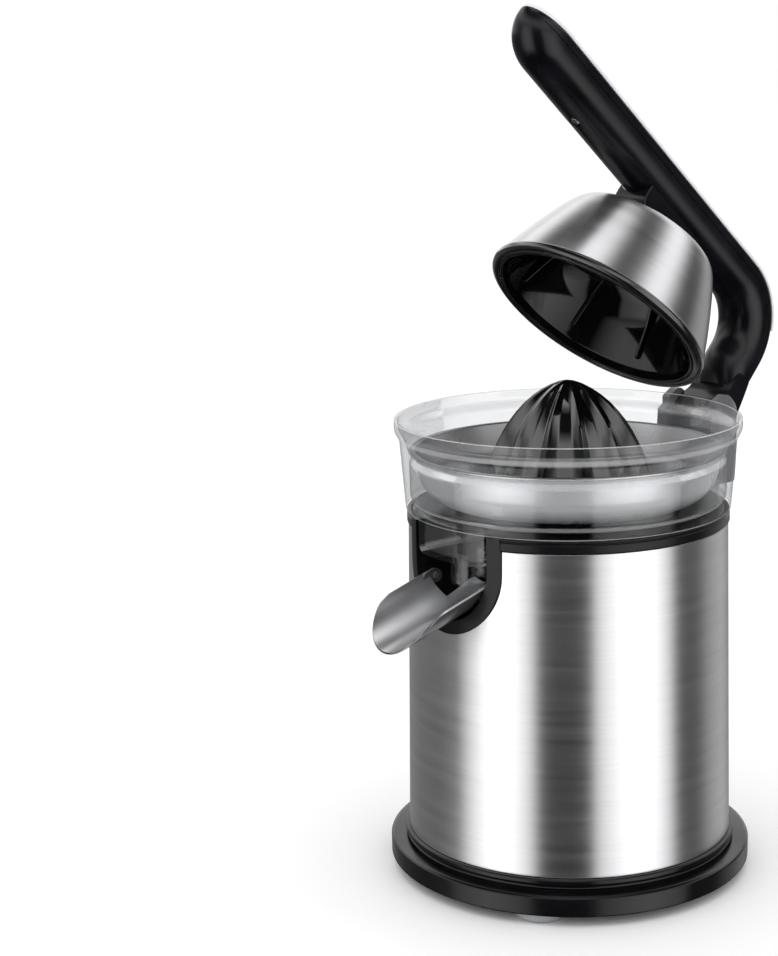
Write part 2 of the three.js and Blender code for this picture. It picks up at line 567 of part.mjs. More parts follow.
function motorFan() {
  const hub = barZ(6, 61, 69, 0, MOTOR.y, 12);
  const back = barZ(12, 67.5, 69, 0, MOTOR.y, 16);
  const blades = Array.from({ length: 7 }, (_, i) => solid(
    new THREE.BoxGeometry(20, 1.2, 7.5).translate(15, 0, 65.25).rotateZ(i * 2 * Math.PI / 7).translate(0, MOTOR.y, 0)));
  return cut(join(hub, back, ...blades), barZ(2.8, 50, 80, 0, MOTOR.y, 12));
}

const motorScrew = (side) => join(
  barZ(MOTOR_SCREW.radius, 139, 150.6, side * MOTOR_SCREW.x, MOTOR.y, 12),
  barZ(3.2, PLATE.top + GAP, 151.5, side * MOTOR_SCREW.x, MOTOR.y, 12));

const screwRoom = [-1, 1].map((side) => barZ(2.1, 137, 160, side * MOTOR_SCREW.x, MOTOR.y, 12));

add(juicer, 'motor_upper_bracket', cut(motorBracket(128, PLATE.bottom - GAP), ...screwRoom), 'zinc');
add(juicer, 'motor_lower_bracket', motorBracket(91.7, 73), 'zinc');
add(juicer, 'motor_upper_bearing', bearing(138.6, 144.7), 'steel');
add(juicer, 'motor_lower_bearing', bearing(75, 81), 'steel');
add(juicer, 'motor_stator', cut(motorStator(), ...screwRoom), 'core');
add(juicer, 'motor_rotor', rotor(), 'core');
add(juicer, 'motor_pinion', motorPinion(), 'zinc');
add(juicer, 'motor_fan', motorFan(), 'nylon');
add(juicer, 'motor_screw_left', motorScrew(-1), 'zinc');
add(juicer, 'motor_screw_right', motorScrew(1), 'zinc');

// ---------------------------------------------------------------- lever arm
// The arm's outer line, closed: up the back, round the bend, along the top to the handle's tip. Each
// station gives a point on that line, the outward direction there, and the half width and depth.
function armStations(steps = 6) {
  const { back, top, bend, half, depth, tipStart, tip } = ARM;
  const bendY = back - bend;
  const bendZ = top - bend;
  const column = [[236, 12.5], [244, 17], [252, depth]].map(([z, deep]) => ({ y: back, z, ny: 1, nz: 0, half, deep }));
  const corner = Array.from({ length: steps + 1 }, (_, i) => {
    const angle = i * Math.PI / 2 / steps;
    const [ny, nz] = [Math.cos(angle), Math.sin(angle)];
    return { y: bendY + bend * ny, z: bendZ + bend * nz, ny, nz, half, deep: depth };
  });
  const handle = [20, -45, tipStart].map((y) => ({ y, z: top, ny: 0, nz: 1, half, deep: depth }));
  const end = [0.35, 0.6, 0.8, 0.93, 0.995].map((share) => {
    const round = Math.sqrt(1 - share * share);
    return { y: tipStart + share * (tip - tipStart), z: top, ny: 0, nz: 1, half: half * round, deep: depth * round };
  });
  return [...column, ...corner, ...handle, ...end];
}

// The arm is flat on top with a full round below. "grow" swells the section on every side.
function armSection({ y, z, ny, nz, half, deep }, grow = 0) {
  const round = Math.min(half, deep * 0.72);
  const edge = Math.min(1.3, half * 0.3);
  const arcSteps = 8;
  const under = Array.from({ length: arcSteps + 1 }, (_, i) => {
    const angle = i * Math.PI / arcSteps;
    return [(half + grow) * Math.cos(angle), deep - round + (round + grow) * Math.sin(angle)];
  });
  const outline = [[half - edge, -grow], [half + grow, edge - grow], ...under, [-half - grow, edge - grow], [edge - half, -grow]];
  return outline.map(([x, down]) => [x, y - down * ny, z - down * nz]);
}

const COVER = { half: 6.2, front: -103, back: -35, floor: 277.6 };
const COVER_SCREW_Y = -75;

function armShell() {
  const sweep = loft(armStations().map((station) => armSection(station)));
  const root = prismX([
    [88.6, 219.5], [88.8, 225], [92.4, 233], [92.2, 246], [102, 246], [103.9, 238], [107.3, 221], [104, 214],
  ], -ARM.half, ARM.half);
  const eye = barX(HINGE.eyeRadius, -ARM.half, ARM.half, HINGE.y, HINGE.z, 24);
  const eyeBore = barX(5.5, -MANY, MANY, HINGE.y, HINGE.z);
  const coverRoom = block([-COVER.half - GAP, COVER.half + GAP], [COVER.front - GAP, COVER.back + GAP], [200, COVER.floor + GAP]);
  const coverScrewRoom = barZ(1.5, 260, 289, 0, COVER_SCREW_Y, 12);
  const cupScrewRoom = barZ(2.3, 260, 288, 0, 0, 12);
  return cut(join(sweep, root, eye), eyeBore, coverRoom, coverScrewRoom, cupScrewRoom);
}

function armCover() {
  const strip = block([-COVER.half, COVER.half], [COVER.front, COVER.back], [275, COVER.floor]);
  return cut(strip, barZ(3.1, 270, 276.2, 0, COVER_SCREW_Y, 12), barZ(1.5, 270, 280, 0, COVER_SCREW_Y, 12));
}

const armCoverScrew = () => join(
  barZ(1.2, 275.3, 287, 0, COVER_SCREW_Y, 12), barZ(2.8, 274.6, 275.9, 0, COVER_SCREW_Y, 12));

// The thin silver plate on the arm's back and top, from half-way round the bend to the tip.
function armTopPlate() {
  const rings = armStations(6).slice(4).map(({ y, z, ny, nz, half }) => {
    const wide = Math.max(half - 0.3, 0.6);
    return [[wide, 1.3], [wide, 0.3], [-wide, 0.3], [-wide, 1.3]].map(([x, out]) => [x, y + out * ny, z + out * nz]);
  });
  return loft(rings);
}

add(closedArm, 'arm_shell', armShell(), 'black');
add(closedArm, 'arm_cover', armCover(), 'black');
add(closedArm, 'arm_cover_screw', armCoverScrew(), 'zinc');
add(closedArm, 'arm_top_plate', armTopPlate(), 'silver');
add(closedArm, 'hinge_bush', barX(5.2, -13.6, 13.6, HINGE.y, HINGE.z).subtract(
  barX(HINGE.pinRadius + GAP, -20, 20, HINGE.y, HINGE.z)), 'bronze');

// ---------------------------------------------------------------- press cup
// Drawn with the arm closed: the mouth is level at CUP.mouth and the cup stands over the shaft.
const cupProfile = (corners) => corners.map(([radius, height]) => [radius, CUP.mouth + height]);
const CUP_TOP = CUP.mouth + CUP.height;

const cupShell = () => revolve(cupProfile([
  [58.4, 4.4], [54.4, 16], [49.9, 28], [44.9, 40], [41.3, 47.2], [38.9, 50.2], [36, CUP.height], [2.6, CUP.height],
  [2.6, 50], [35.6, 50], [38.2, 49.2], [44, 39.6], [49, 27.6], [57.4, 4.4],
]));

const cupRing = () => revolve(cupProfile([
  [54.8, 0], [58.6, 0], [59.4, 0.9], [59.4, 4.1], [54.8, 4.1],
]));

function cupLiner() {
  const dome = revolve(cupProfile([
    [52.8, 0.2], [54.5, 0.2], [54.5, 4.4], [47, 27.6], [41.6, 38], [34, 45], [20, 48.6], [2.3, 49.6],
    [2.3, 47.9], [19.6, 46.9], [33, 43.4], [40.2, 37], [45.4, 27.2], [52.8, 4.4],
  ]));
  const finOutline = cupProfile([[48.8, 9.5], [51.2, 9.5], [50.7, 15.4], [46.3, 27.2], [41, 37], [37.5, 41], [34.6, 39], [42.4, 26]]);
  const fins = Array.from({ length: CUP.fins }, (_, i) => {
    const blade = extrude(finOutline, 1.6).rotateX(Math.PI / 2).translate(0, 0.8, 0);
    return solid(blade.rotateZ((15 + i * 360 / CUP.fins) * degrees));
  });
  return join(dome, ...fins);
}

function cupBracket() {
  const wedge = prismX([
    [-13, CUP_TOP + GAP], [17, CUP_TOP + GAP], [24, 270], [24, 284], [-22, 284], [-22, 270],
  ], -11, 11);
  const arm = loft(armStations().map((station) => armSection(station, GAP)));
  return cut(wedge, arm, barZ(2.3, 250, 290, 0, 0, 12));
}

const cupScrew = () => join(barZ(2, CUP.mouth + 46, 287.6, 0, 0, 12), barZ(5, CUP.mouth + 45.5, CUP.mouth + 47.3, 0, 0, 16));

add(closedArm, 'cup_bracket', cupBracket(), 'black');
add(closedArm, 'cup_shell', cupShell(), 'steel');
add(closedArm, 'cup_ring', cupRing(), 'gloss');
add(closedArm, 'cup_liner', cupLiner(), 'gloss');
add(closedArm, 'cup_screw', cupScrew(), 'zinc');

export default juicer;
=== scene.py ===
"""Looks for the citrus press juicer: smooth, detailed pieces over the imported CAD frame.

Shapes are drawn in millimetres about the motor housing's axis, as the CAD is, and placed by at().
The arm and its cup are drawn closed and swung open by ARM_OPEN.
"""
import json
import math

import bmesh
import bpy
from mathutils import Matrix, Vector


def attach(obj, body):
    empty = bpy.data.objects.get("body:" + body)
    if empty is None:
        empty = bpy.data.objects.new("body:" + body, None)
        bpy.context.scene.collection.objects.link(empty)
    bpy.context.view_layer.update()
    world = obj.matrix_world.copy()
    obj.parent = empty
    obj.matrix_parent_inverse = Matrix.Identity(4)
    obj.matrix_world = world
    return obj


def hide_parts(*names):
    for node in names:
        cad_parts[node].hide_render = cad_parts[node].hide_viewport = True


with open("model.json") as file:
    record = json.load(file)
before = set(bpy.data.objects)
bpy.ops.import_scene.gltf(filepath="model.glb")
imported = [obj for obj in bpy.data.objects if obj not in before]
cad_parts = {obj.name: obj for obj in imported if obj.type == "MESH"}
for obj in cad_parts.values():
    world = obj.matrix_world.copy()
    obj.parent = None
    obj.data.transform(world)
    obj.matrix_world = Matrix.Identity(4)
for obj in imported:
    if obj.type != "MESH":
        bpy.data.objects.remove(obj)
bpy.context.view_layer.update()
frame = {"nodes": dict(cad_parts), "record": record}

MM = 0.001
AXIS_Y = -0.0109                      # the housing's axis in the row frame, metres

# Housing, in millimetres from here on.
FOOT_X, FOOT_Y = 46.5, 62.6
SLEEVE_TOP = 180.2
DECK_TOP = 186.5
GLAND_Z = 44.0
# The front notch, as half width and lowest point: the sleeve's cut, the trim frame round it, and the opening.
NOTCH_CUT = (33.1, 135.2)
NOTCH_FRAME = (32.8, 135.5)
NOTCH_OPEN = (26.3, 142.0)
NOTCH_WALL = (28.7, 139.6)
ABOVE = 260.0                         # clear of the housing's top, for cuts
OUTSIDE = -95.0                       # clear of the housing's front, for cuts
PIVOT_Y, PIVOT_Z = -69.5, 158.5       # the spout's pins
NOZZLE_Y = -63.0

# Arm and press cup, closed.
HINGE_Y, HINGE_Z = 98.0, 219.5
OPEN_ANGLE = 41.7
BACK, TOP, BEND = 102.6, 295.0, 37.6  # the arm's outer line: its back, its top and the bend's radius
ARM_HALF, ARM_DEEP = 13.8, 20.5
TIP_START, TIP = -112.0, -135.0
LID_SCREW_Y = -75.0
CUP_MOUTH = 210.6
CUP_TOP = CUP_MOUTH + 51.0


def at(x, y, z):
    return Vector((x * MM, y * MM + AXIS_Y, z * MM))


HINGE = at(0, HINGE_Y, HINGE_Z)
SWING = Matrix.Rotation(math.radians(-OPEN_ANGLE), 4, "X")
ARM_OPEN = Matrix.Translation(HINGE) @ SWING @ Matrix.Translation(-HINGE)


# ---------------------------------------------------------------- mesh building
def make(name, verts, faces, sharp=38.0):
    """A mesh object from points in millimetres about the housing's axis, smooth except at sharp edges."""
    mesh = bpy.data.meshes.new(name)
    mesh.from_pydata([at(*v) for v in verts], [], faces)
    tidy_mesh(mesh)
    obj = bpy.data.objects.new(name, mesh)
    bpy.context.collection.objects.link(obj)
    obj["sharp"] = sharp
    return obj


def tidy_mesh(mesh):
    bm = bmesh.new()
    bm.from_mesh(mesh)
    bmesh.ops.remove_doubles(bm, verts=bm.verts, dist=2e-6)
    bmesh.ops.dissolve_degenerate(bm, dist=1e-6, edges=bm.edges)
    bmesh.ops.recalc_face_normals(bm, faces=bm.faces)
    bm.to_mesh(mesh)
    bm.free()


def apply_modifiers(obj):
    graph = bpy.context.evaluated_depsgraph_get()
    made = bpy.data.meshes.new_from_object(obj.evaluated_get(graph))
    obj.modifiers.clear()
    old, obj.data = obj.data, made
    bpy.data.meshes.remove(old)


def combine(obj, tool, operation="DIFFERENCE"):
    modifier = obj.modifiers.new("combine", "BOOLEAN")
    modifier.operation = operation
    modifier.object = tool
    modifier.solver = "EXACT"
    apply_modifiers(obj)
    bpy.data.objects.remove(tool)
    return obj


def soften(obj, width, segments=3, angle=38.0):
    """Rounds the hard edges by width, in millimetres."""
    tidy_mesh(obj.data)
    modifier = obj.modifiers.new("soften", "BEVEL")
    modifier.width = width * MM
    modifier.segments = segments
    modifier.limit_method = "ANGLE"
    modifier.angle_limit = math.radians(angle)
    modifier.use_clamp_overlap = True
    modifier.miter_outer = "MITER_ARC"
    apply_modifiers(obj)
    obj["sharp"] = 60.0
    return obj


def round_corners(corners, steps=4):
    """A closed outline with its corners rounded. A corner is (u, v) or (u, v, distance taken off each side)."""
    out = []
    for i, corner in enumerate(corners):
        here = Vector(corner[:2])
        before = Vector(corners[i - 1][:2]) - here
        after = Vector(corners[(i + 1) % len(corners)][:2]) - here
        reach = corner[2] if len(corner) > 2 else 0.0
        reach = min(reach, 0.49 * before.length, 0.49 * after.length)
        if reach <= 0:
            out.append(tuple(here))
            continue
        start, end = here + before.normalized() * reach, here + after.normalized() * reach
        for k in range(steps + 1):
            t = k / steps
            out.append(tuple((1 - t) ** 2 * start + 2 * t * (1 - t) * here + t * t * end))
    return out


def lathe(name, corners, segments=160, steps=4, centre=(0.0, 0.0)):
    """A rounded closed profile of (radius, z) turned round the vertical through centre."""
    outline = round_corners(corners, steps)
    verts, faces = [], []
    count = len(outline)
    for s in range(segments):
        angle = 2 * math.pi * s / segments
        c, d = math.cos(angle), math.sin(angle)
        verts += [(centre[0] + max(r, 0.0) * c, centre[1] + max(r, 0.0) * d, z) for r, z in outline]
        following = (s + 1) % segments
        for i in range(count):
            j = (i + 1) % count
            faces.append((s * count + i, following * count + i, following * count + j, s * count + j))
    return make(name, verts, faces)


def loft(name, rings, sharp=38.0):
    """Rings with the same number of points joined into one closed skin."""
    count = len(rings[0])
    verts = [p for ring in rings for p in ring]
    faces = []
    for r in range(len(rings) - 1):
        for i in range(count):
            j = (i + 1) % count
            faces.append((r * count + i, r * count + j, (r + 1) * count + j, (r + 1) * count + i))
    faces.append(tuple(range(count)))
    last = (len(rings) - 1) * count
    faces.append(tuple(last + i for i in reversed(range(count))))
    return make(name, verts, faces, sharp)


PLANES = {
    "x": lambda u, v, w: (w, u, v),
    "y": lambda u, v, w: (u, w, v),
    "z": lambda u, v, w: (u, v, w),
}


def prism(name, outline, axis, start, end):
    """The outline carried from start to end along the axis."""
    point = PLANES[axis]
    return loft(name, [[point(u, v, w) for u, v in outline] for w in (start, end)])


def disc_outline(radius, count=40, u=0.0, v=0.0):
    return [(u + radius * math.cos(2 * math.pi * i / count), v + radius * math.sin(2 * math.pi * i / count))
            for i in range(count)]


def rod(name, axis, radius, start, end, u, v, count=40):
    """A round bar along the axis, with its middle at u, v."""
    return prism(name, disc_outline(radius, count, u, v), axis, start, end)


def turned(obj, angle):
    """The object with its mesh turned round the housing's axis."""
    bm = bmesh.new()
    bm.from_mesh(obj.data)
    bmesh.ops.rotate(bm, verts=bm.verts, cent=at(0, 0, 0), matrix=Matrix.Rotation(angle, 3, "Z"))
    bm.to_mesh(obj.data)
    bm.free()
    return obj


def spin_copies(obj, count):
    """The object and its copies round the housing's axis, joined into one mesh."""
    step = 2 * math.pi / count
    pivot = at(0, 0, 0)
    bm = bmesh.new()
    bm.from_mesh(obj.data)
    base = bm.verts[:] + bm.edges[:] + bm.faces[:]
    for i in range(1, count):
        made = bmesh.ops.duplicate(bm, geom=base)["geom"]
        bmesh.ops.rotate(bm, verts=[g for g in made if isinstance(g, bmesh.types.BMVert)],
                         cent=pivot, matrix=Matrix.Rotation(step * i, 3, "Z"))
    bm.to_mesh(obj.data)
    bm.free()
    return obj


def place(obj, material, body, slot, *nodes, matrix=None):
    """The finished piece: its material, the CAD body that it rides on and the CAD nodes that it stands for."""
    obj.data.materials.clear()
    obj.data.materials.append(material)
    for polygon in obj.data.polygons:
        polygon.use_smooth = True
        polygon.material_index = 0
    obj.data.set_sharp_from_angle(angle=math.radians(obj["sharp"]))
    del obj["sharp"]
    if matrix:
        obj.matrix_world = matrix
    weighted = obj.modifiers.new("weighted", "WEIGHTED_NORMAL")
    weighted.keep_sharp = True
    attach(obj, body)
    if nodes:
        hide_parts(*nodes)
    return obj


# ---------------------------------------------------------------- materials
class Nodes:
    """A small help for wiring a node tree."""

    def __init__(self, tree):
        self.tree = tree

    def add(self, kind, inputs=None, **settings):
        node = self.tree.nodes.new(kind)
        for key, value in settings.items():
            setattr(node, key, value)
        for key, value in (inputs or {}).items():
            if isinstance(value, bpy.types.NodeSocket):
                self.tree.links.new(value, node.inputs[key])
            else:
                node.inputs[key].default_value = value
        return node

    def math(self, operation, a, b=0.0):
        return self.add("ShaderNodeMath", {0: a, 1: b}, operation=operation).outputs[0]

    def ramp(self, value, low, high, start=0.0, end=1.0):
        return self.add("ShaderNodeMapRange", {0: value, 1: start, 2: end, 3: low, 4: high}).outputs[0]

    def blend(self, value, low, high):
        """A colour from low to high; each is three numbers or a socket."""
        low, high = (c if isinstance(c, bpy.types.NodeSocket) else (*c, 1) for c in (low, high))
        return self.add("ShaderNodeMix", {"Factor": value, 6: low, 7: high}, data_type="RGBA").outputs[2]


def new_material(name):
    material = bpy.data.materials.new(name)
    material.use_nodes = True
    tree = material.node_tree
    return material, Nodes(tree), tree.nodes["Principled BSDF"]


def moulded(name, low, high, roughness, spread, grain, depth, coat=0.0, specular=0.5):
    """Moulded plastic or rubber: soft flow marks in colour and gloss, and a fine spark-eroded grain."""
    material, n, shader = new_material(name)
    place_at = n.add("ShaderNodeTexCoord").outputs["Object"]
    flow = n.add("ShaderNodeTexNoise", {"Vector": place_at, "Scale": 42.0, "Detail": 4.0,
                                        "Roughness": 0.6}).outputs["Fac"]
    fine = n.add("ShaderNodeTexNoise", {"Vector": place_at, "Scale": grain, "Detail": 3.0}).outputs["Fac"]
    specks = n.add("ShaderNodeTexVoronoi", {"Vector": place_at, "Scale": grain * 0.6}).outputs["Distance"]
    n.tree.links.new(n.blend(n.ramp(flow, 0.0, 1.0, 0.3, 0.7), low, high), shader.inputs["Base Color"])
    gloss = n.math("ADD", n.ramp(flow, roughness - spread, roughness + spread, 0.25, 0.75),
                   n.ramp(fine, -0.5 * spread, 0.5 * spread))
    n.tree.links.new(gloss, shader.inputs["Roughness"])
    height = n.math("ADD", fine, n.math("MULTIPLY", specks, 0.5))
    bump = n.add("ShaderNodeBump", {"Strength": 1.0, "Distance": depth * MM, "Height": height})
    n.tree.links.new(bump.outputs["Normal"], shader.inputs["Normal"])
    shader.inputs["Coat Weight"].default_value = coat
    shader.inputs["Coat Roughness"].default_value = 0.04
    shader.inputs["Coat IOR"].default_value = 1.5
    shader.inputs["Specular IOR Level"].default_value = specular
    return material


def brushed(name, low, high, roughness, anisotropy=0.75):
    """Brushed steel: hair-fine scratches round the housing's axis, in colour, gloss and height."""
    material, n, shader = new_material(name)
    place_at = n.add("ShaderNodeTexCoord").outputs["Object"]
    where = n.add("ShaderNodeSeparateXYZ", {0: place_at}).outputs
    aside = n.math("SUBTRACT", where["Y"], AXIS_Y)
    radius = n.math("SQRT", n.math("ADD", n.math("MULTIPLY", where["X"], where["X"]),
                                   n.math("MULTIPLY", aside, aside)))
    along = n.math("MULTIPLY", n.math("ARCTAN2", aside, where["X"]), 1.1)
    across = n.math("MULTIPLY", n.math("ADD", where["Z"], n.math("MULTIPLY", radius, 0.7)), 2600.0)
    point = n.add("ShaderNodeCombineXYZ", {0: along, 1: across}).outputs[0]
    fine = n.add("ShaderNodeTexNoise", {"Vector": point, "Scale": 1.0, "Detail": 5.0,
                                        "Roughness": 0.7}).outputs["Fac"]
    broad_point = n.add("ShaderNodeCombineXYZ", {0: along, 1: n.math("MULTIPLY", across, 0.08)}).outputs[0]
    broad = n.add("ShaderNodeTexNoise", {"Vector": broad_point, "Scale": 1.0, "Detail": 3.0}).outputs["Fac"]
    smudge = n.add("ShaderNodeTexNoise", {"Vector": place_at, "Scale": 18.0, "Detail": 3.0}).outputs["Fac"]
    streak = n.math("ADD", n.math("MULTIPLY", fine, 0.6), n.math("MULTIPLY", broad, 0.4))
    n.tree.links.new(n.blend(n.ramp(streak, 0.0, 1.0, 0.3, 0.7), low, high), shader.inputs["Base Color"])
    gloss = n.math("ADD", n.ramp(streak, roughness - 0.05, roughness + 0.05, 0.3, 0.7),
                   n.ramp(smudge, -0.02, 0.02))
    n.tree.links.new(gloss, shader.inputs["Roughness"])
    bump = n.add("ShaderNodeBump", {"Strength": 0.25, "Distance": 0.02 * MM, "Height": fine})
    n.tree.links.new(bump.outputs["Normal"], shader.inputs["Normal"])
    shader.inputs["Metallic"].default_value = 1.0
    shader.inputs["Anisotropic"].default_value = anisotropy
    shader.inputs["Anisotropic Rotation"].default_value = 0.25
    tangent = n.add("ShaderNodeTangent", direction_type="RADIAL", axis="Z")
    n.tree.links.new(tangent.outputs["Tangent"], shader.inputs["Tangent"])
    return material


def metal(name, low, high, roughness, metallic=1.0):
    """Plain machined or plated metal with cloudy gloss."""
    material, n, shader = new_material(name)
    place_at = n.add("ShaderNodeTexCoord").outputs["Object"]
    cloud = n.add("ShaderNodeTexNoise", {"Vector": place_at, "Scale": 60.0, "Detail": 1.0}).outputs["Fac"]
    fine = n.add("ShaderNodeTexNoise", {"Vector": place_at, "Scale": 2600.0, "Detail": 2.0}).outputs["Fac"]
    n.tree.links.new(n.blend(n.ramp(cloud, 0.0, 1.0, 0.15, 0.85), low, high), shader.inputs["Base Color"])
    n.tree.links.new(n.ramp(cloud, roughness - 0.06, roughness + 0.06, 0.15, 0.85), shader.inputs["Roughness"])
    bump = n.add("ShaderNodeBump", {"Strength": 0.08, "Distance": 0.02 * MM, "Height": fine})
    n.tree.links.new(bump.outputs["Normal"], shader.inputs["Normal"])
    shader.inputs["Metallic"].default_value = metallic
    return material


def facing_up(n):
    """How far the surface faces up: 1 is level, 0 upright, -1 underneath."""
    return n.add("ShaderNodeSeparateXYZ", {0: n.add("ShaderNodeNewGeometry").outputs["Normal"]}).outputs["Z"]


def metal_painted_by_facing(name, low, high, roughness, metallic, start, end, painted_facing_up_tone, painted_facing_up_metallic):
    """Satin metal with painted light and shade: it turns to another tone where it faces up, between the start and
    end slopes, painted in for how light falls on it.
    """
    material = metal(name, low, high, roughness, metallic=metallic)
    n = Nodes(material.node_tree)
    shader = material.node_tree.nodes["Principled BSDF"]
    colour = shader.inputs["Base Color"].links[0].from_socket
    # Painted light and shade: the mix to the up-facing tone follows the surface's slope, not any lamp.
    share = n.ramp(facing_up(n), 0.0, 1.0, start, end)
    n.tree.links.new(n.blend(share, colour, painted_facing_up_tone), shader.inputs["Base Color"])
    n.tree.links.new(n.ramp(share, metallic, painted_facing_up_metallic), shader.inputs["Metallic"])
    return material


def clear_plastic(name):
    """Thin clear plastic: light goes straight through face on, less edge on, and its round edges carry a painted
    highlight of flat white.
    """
    material, n, shader = new_material(name)
    place_at = n.add("ShaderNodeTexCoord").outputs["Object"]
    cloud = n.add("ShaderNodeTexNoise", {"Vector": place_at, "Scale": 35.0, "Detail": 3.0}).outputs["Fac"]
    fine = n.add("ShaderNodeTexNoise", {"Vector": place_at, "Scale": 1500.0}).outputs["Fac"]
    bump = n.add("ShaderNodeBump", {"Strength": 0.1, "Distance": 0.02 * MM, "Height": cloud})
    n.tree.links.new(n.blend(cloud, (0.3, 0.31, 0.33), (0.42, 0.43, 0.45)), shader.inputs["Base Color"])
    n.tree.links.new(n.ramp(fine, 0.03, 0.07), shader.inputs["Roughness"])
    n.tree.links.new(bump.outputs["Normal"], shader.inputs["Normal"])
    shader.inputs["Specular IOR Level"].default_value = 0.6
    shader.inputs["IOR"].default_value = 1.49
    through = n.add("ShaderNodeBsdfTransparent", {"Color": (0.92, 0.925, 0.93, 1)})
    normal = bump.outputs["Normal"]
    shine = n.add("ShaderNodeBsdfGlossy", {"Color": (1, 1, 1, 1), "Roughness": 0.03, "Normal": normal})
    edge = n.add("ShaderNodeLayerWeight", {"Blend": 0.5, "Normal": normal}).outputs["Facing"]
    fresnel = n.add("ShaderNodeFresnel", {"IOR": 1.36, "Normal": normal}).outputs["Fac"]
    slope = n.math("ABSOLUTE", facing_up(n))
    wall = n.ramp(slope, 1.0, 0.12, 0.6, 0.95)
    # Painted highlight: partly sloping faces, as on the rounded rims, get flat white mixed in below.
    rounded = n.math("MULTIPLY", n.ramp(slope, 0.0, 1.0, 0.36, 0.62), n.ramp(slope, 1.0, 0.0, 0.88, 0.97))
    body = n.add("ShaderNodeMixShader", {0: n.math("MULTIPLY", n.ramp(edge, 0.0, 0.5, 0.8, 1.0), wall),
                                         1: through.outputs[0], 2: shader.outputs[0]})
    painted_edge_white = n.add("ShaderNodeBsdfDiffuse", {"Color": (0.9, 0.9, 0.91, 1)})
    with_painted_edge_white = n.add("ShaderNodeMixShader", {0: n.math("MULTIPLY", rounded, 0.45), 1: body.outputs[0],
                                             2: painted_edge_white.outputs[0]})
    whole = n.add("ShaderNodeMixShader", {0: n.math("MULTIPLY", n.ramp(fresnel, 0.035, 0.4, 0.023, 1.0), wall),
                                          1: with_painted_edge_white.outputs[0], 2: shine.outputs[0]})
    n.tree.links.new(whole.outputs[0], n.tree.nodes["Material Output"].inputs["Surface"])
    return material


STEEL = brushed("brushed_steel", (0.58, 0.58, 0.59), (0.76, 0.76, 0.77), 0.31)
CUP_STEEL = brushed("brushed_cup_steel", (0.48, 0.48, 0.49), (0.62, 0.62, 0.63), 0.31, anisotropy=0.6)
# The spout's steel: dark on its sides and sloping faces, with a painted highlight where it faces up, lighter as if
# lit from above.
SPOUT_STEEL_PAINTED_LIGHT = metal_painted_by_facing("spout_steel_painted_light", (0.16, 0.16, 0.165), (0.22, 0.22, 0.225), 0.3, 0.85, 0.45, 1.0,
                           (0.56, 0.56, 0.57), 0.85)
# The strainer's steel: its sides are a pale, half-matt tone, a painted reflection of the bright floor, and where
# it faces up it turns dark, a painted shade.
BOWL_STEEL_PAINTED_LIGHT = metal_painted_by_facing("bowl_steel_painted_light", (0.9, 0.9, 0.91), (0.96, 0.96, 0.97), 0.3, 0.45, -0.05, 0.35,
                          (0.2, 0.2, 0.205), 0.92)
SILVER = moulded("satin_silver", (0.62, 0.62, 0.64), (0.74, 0.74, 0.76), 0.34, 0.05, 1500.0, 0.006)
SATIN_BLACK = moulded("satin_black", (0.002, 0.002, 0.0035), (0.005, 0.005, 0.008), 0.24, 0.04, 1400.0, 0.003,
                      specular=0.28)
BASE_BLACK = moulded("base_black", (0.002, 0.002, 0.0025), (0.005, 0.005, 0.006), 0.18, 0.04, 1200.0, 0.003,
                     specular=0.3)
TRIM_BLACK = moulded("trim_black", (0.003, 0.003, 0.0035), (0.006, 0.006, 0.007), 0.22, 0.04, 1600.0, 0.004,
                     specular=0.22)
GLOSS_BLACK = moulded("gloss_black", (0.002, 0.002, 0.0025), (0.004, 0.004, 0.005), 0.08, 0.02, 500.0, 0.0005,
                      coat=0.8)
LINER_BLACK = moulded("liner_black", (0.002, 0.002, 0.002), (0.004, 0.004, 0.004), 0.07, 0.02, 300.0, 0.0003,
                      coat=0.35, specular=0.15)
TOWER_GREY = moulded("tower_grey", (0.09, 0.09, 0.094), (0.13, 0.13, 0.135), 0.26, 0.04, 1400.0, 0.004)
CLEAR = clear_plastic("clear_plastic")
FOOT_RUBBER = moulded("foot_rubber", (0.26, 0.27, 0.28), (0.36, 0.37, 0.38), 0.6, 0.08, 900.0, 0.03,
                      specular=0.3)
SEAL_RUBBER = moulded("seal_rubber", (0.015, 0.015, 0.015), (0.03, 0.03, 0.03), 0.65, 0.08, 900.0, 0.03)
NYLON = moulded("nylon", (0.66, 0.63, 0.54), (0.76, 0.73, 0.64), 0.45, 0.06, 900.0, 0.01)
ZINC = metal("zinc", (0.45, 0.46, 0.48), (0.58, 0.59, 0.61), 0.36)
BRONZE = metal("bronze", (0.42, 0.27, 0.12), (0.56, 0.37, 0.18), 0.4)
CORE = metal("core", (0.12, 0.12, 0.13), (0.2, 0.2, 0.21), 0.5)

# Every CAD node starts with its slot's finish; the pieces below then stand for the ones that show.
BY_SLOT = {
    "steel": STEEL, "black": BASE_BLACK, "gloss": GLOSS_BLACK, "clear": CLEAR, "silver": SILVER,
    "foot_rubber": FOOT_RUBBER, "seal_rubber": SEAL_RUBBER, "bronze": BRONZE, "nylon": NYLON, "zinc": ZINC,
    "core": CORE,
}
for part in frame["record"]["subparts"]:
    node = frame["nodes"][part["node"]]
    node.data.materials.clear()
    node.data.materials.append(BY_SLOT[part["material_slot"]])


# ---------------------------------------------------------------- base and feet
base = lathe("base_skirt", [
    (88.2, 5.0, 0.4), (92.0, 5.0, 0.9), (92.0, 14.4, 1.1), (90.8, 15.2, 0.8), (83.4, 15.7, 0.5),
    (82.9, 16.4, 0.4), (82.9, 17.3, 0.3), (84.0, 17.7, 0.3), (84.6, 18.3, 0.5), (84.6, 20.2, 0.5),
    (84.0, 20.75, 0.5), (81.2, 20.75, 0.3), (81.2, 30.0), (78.6, 30.0), (78.6, 8.0, 0.5), (88.2, 8.0, 0.5),
], segments=220)
place(base, BASE_BLACK, "housing", "black", "base_ring")

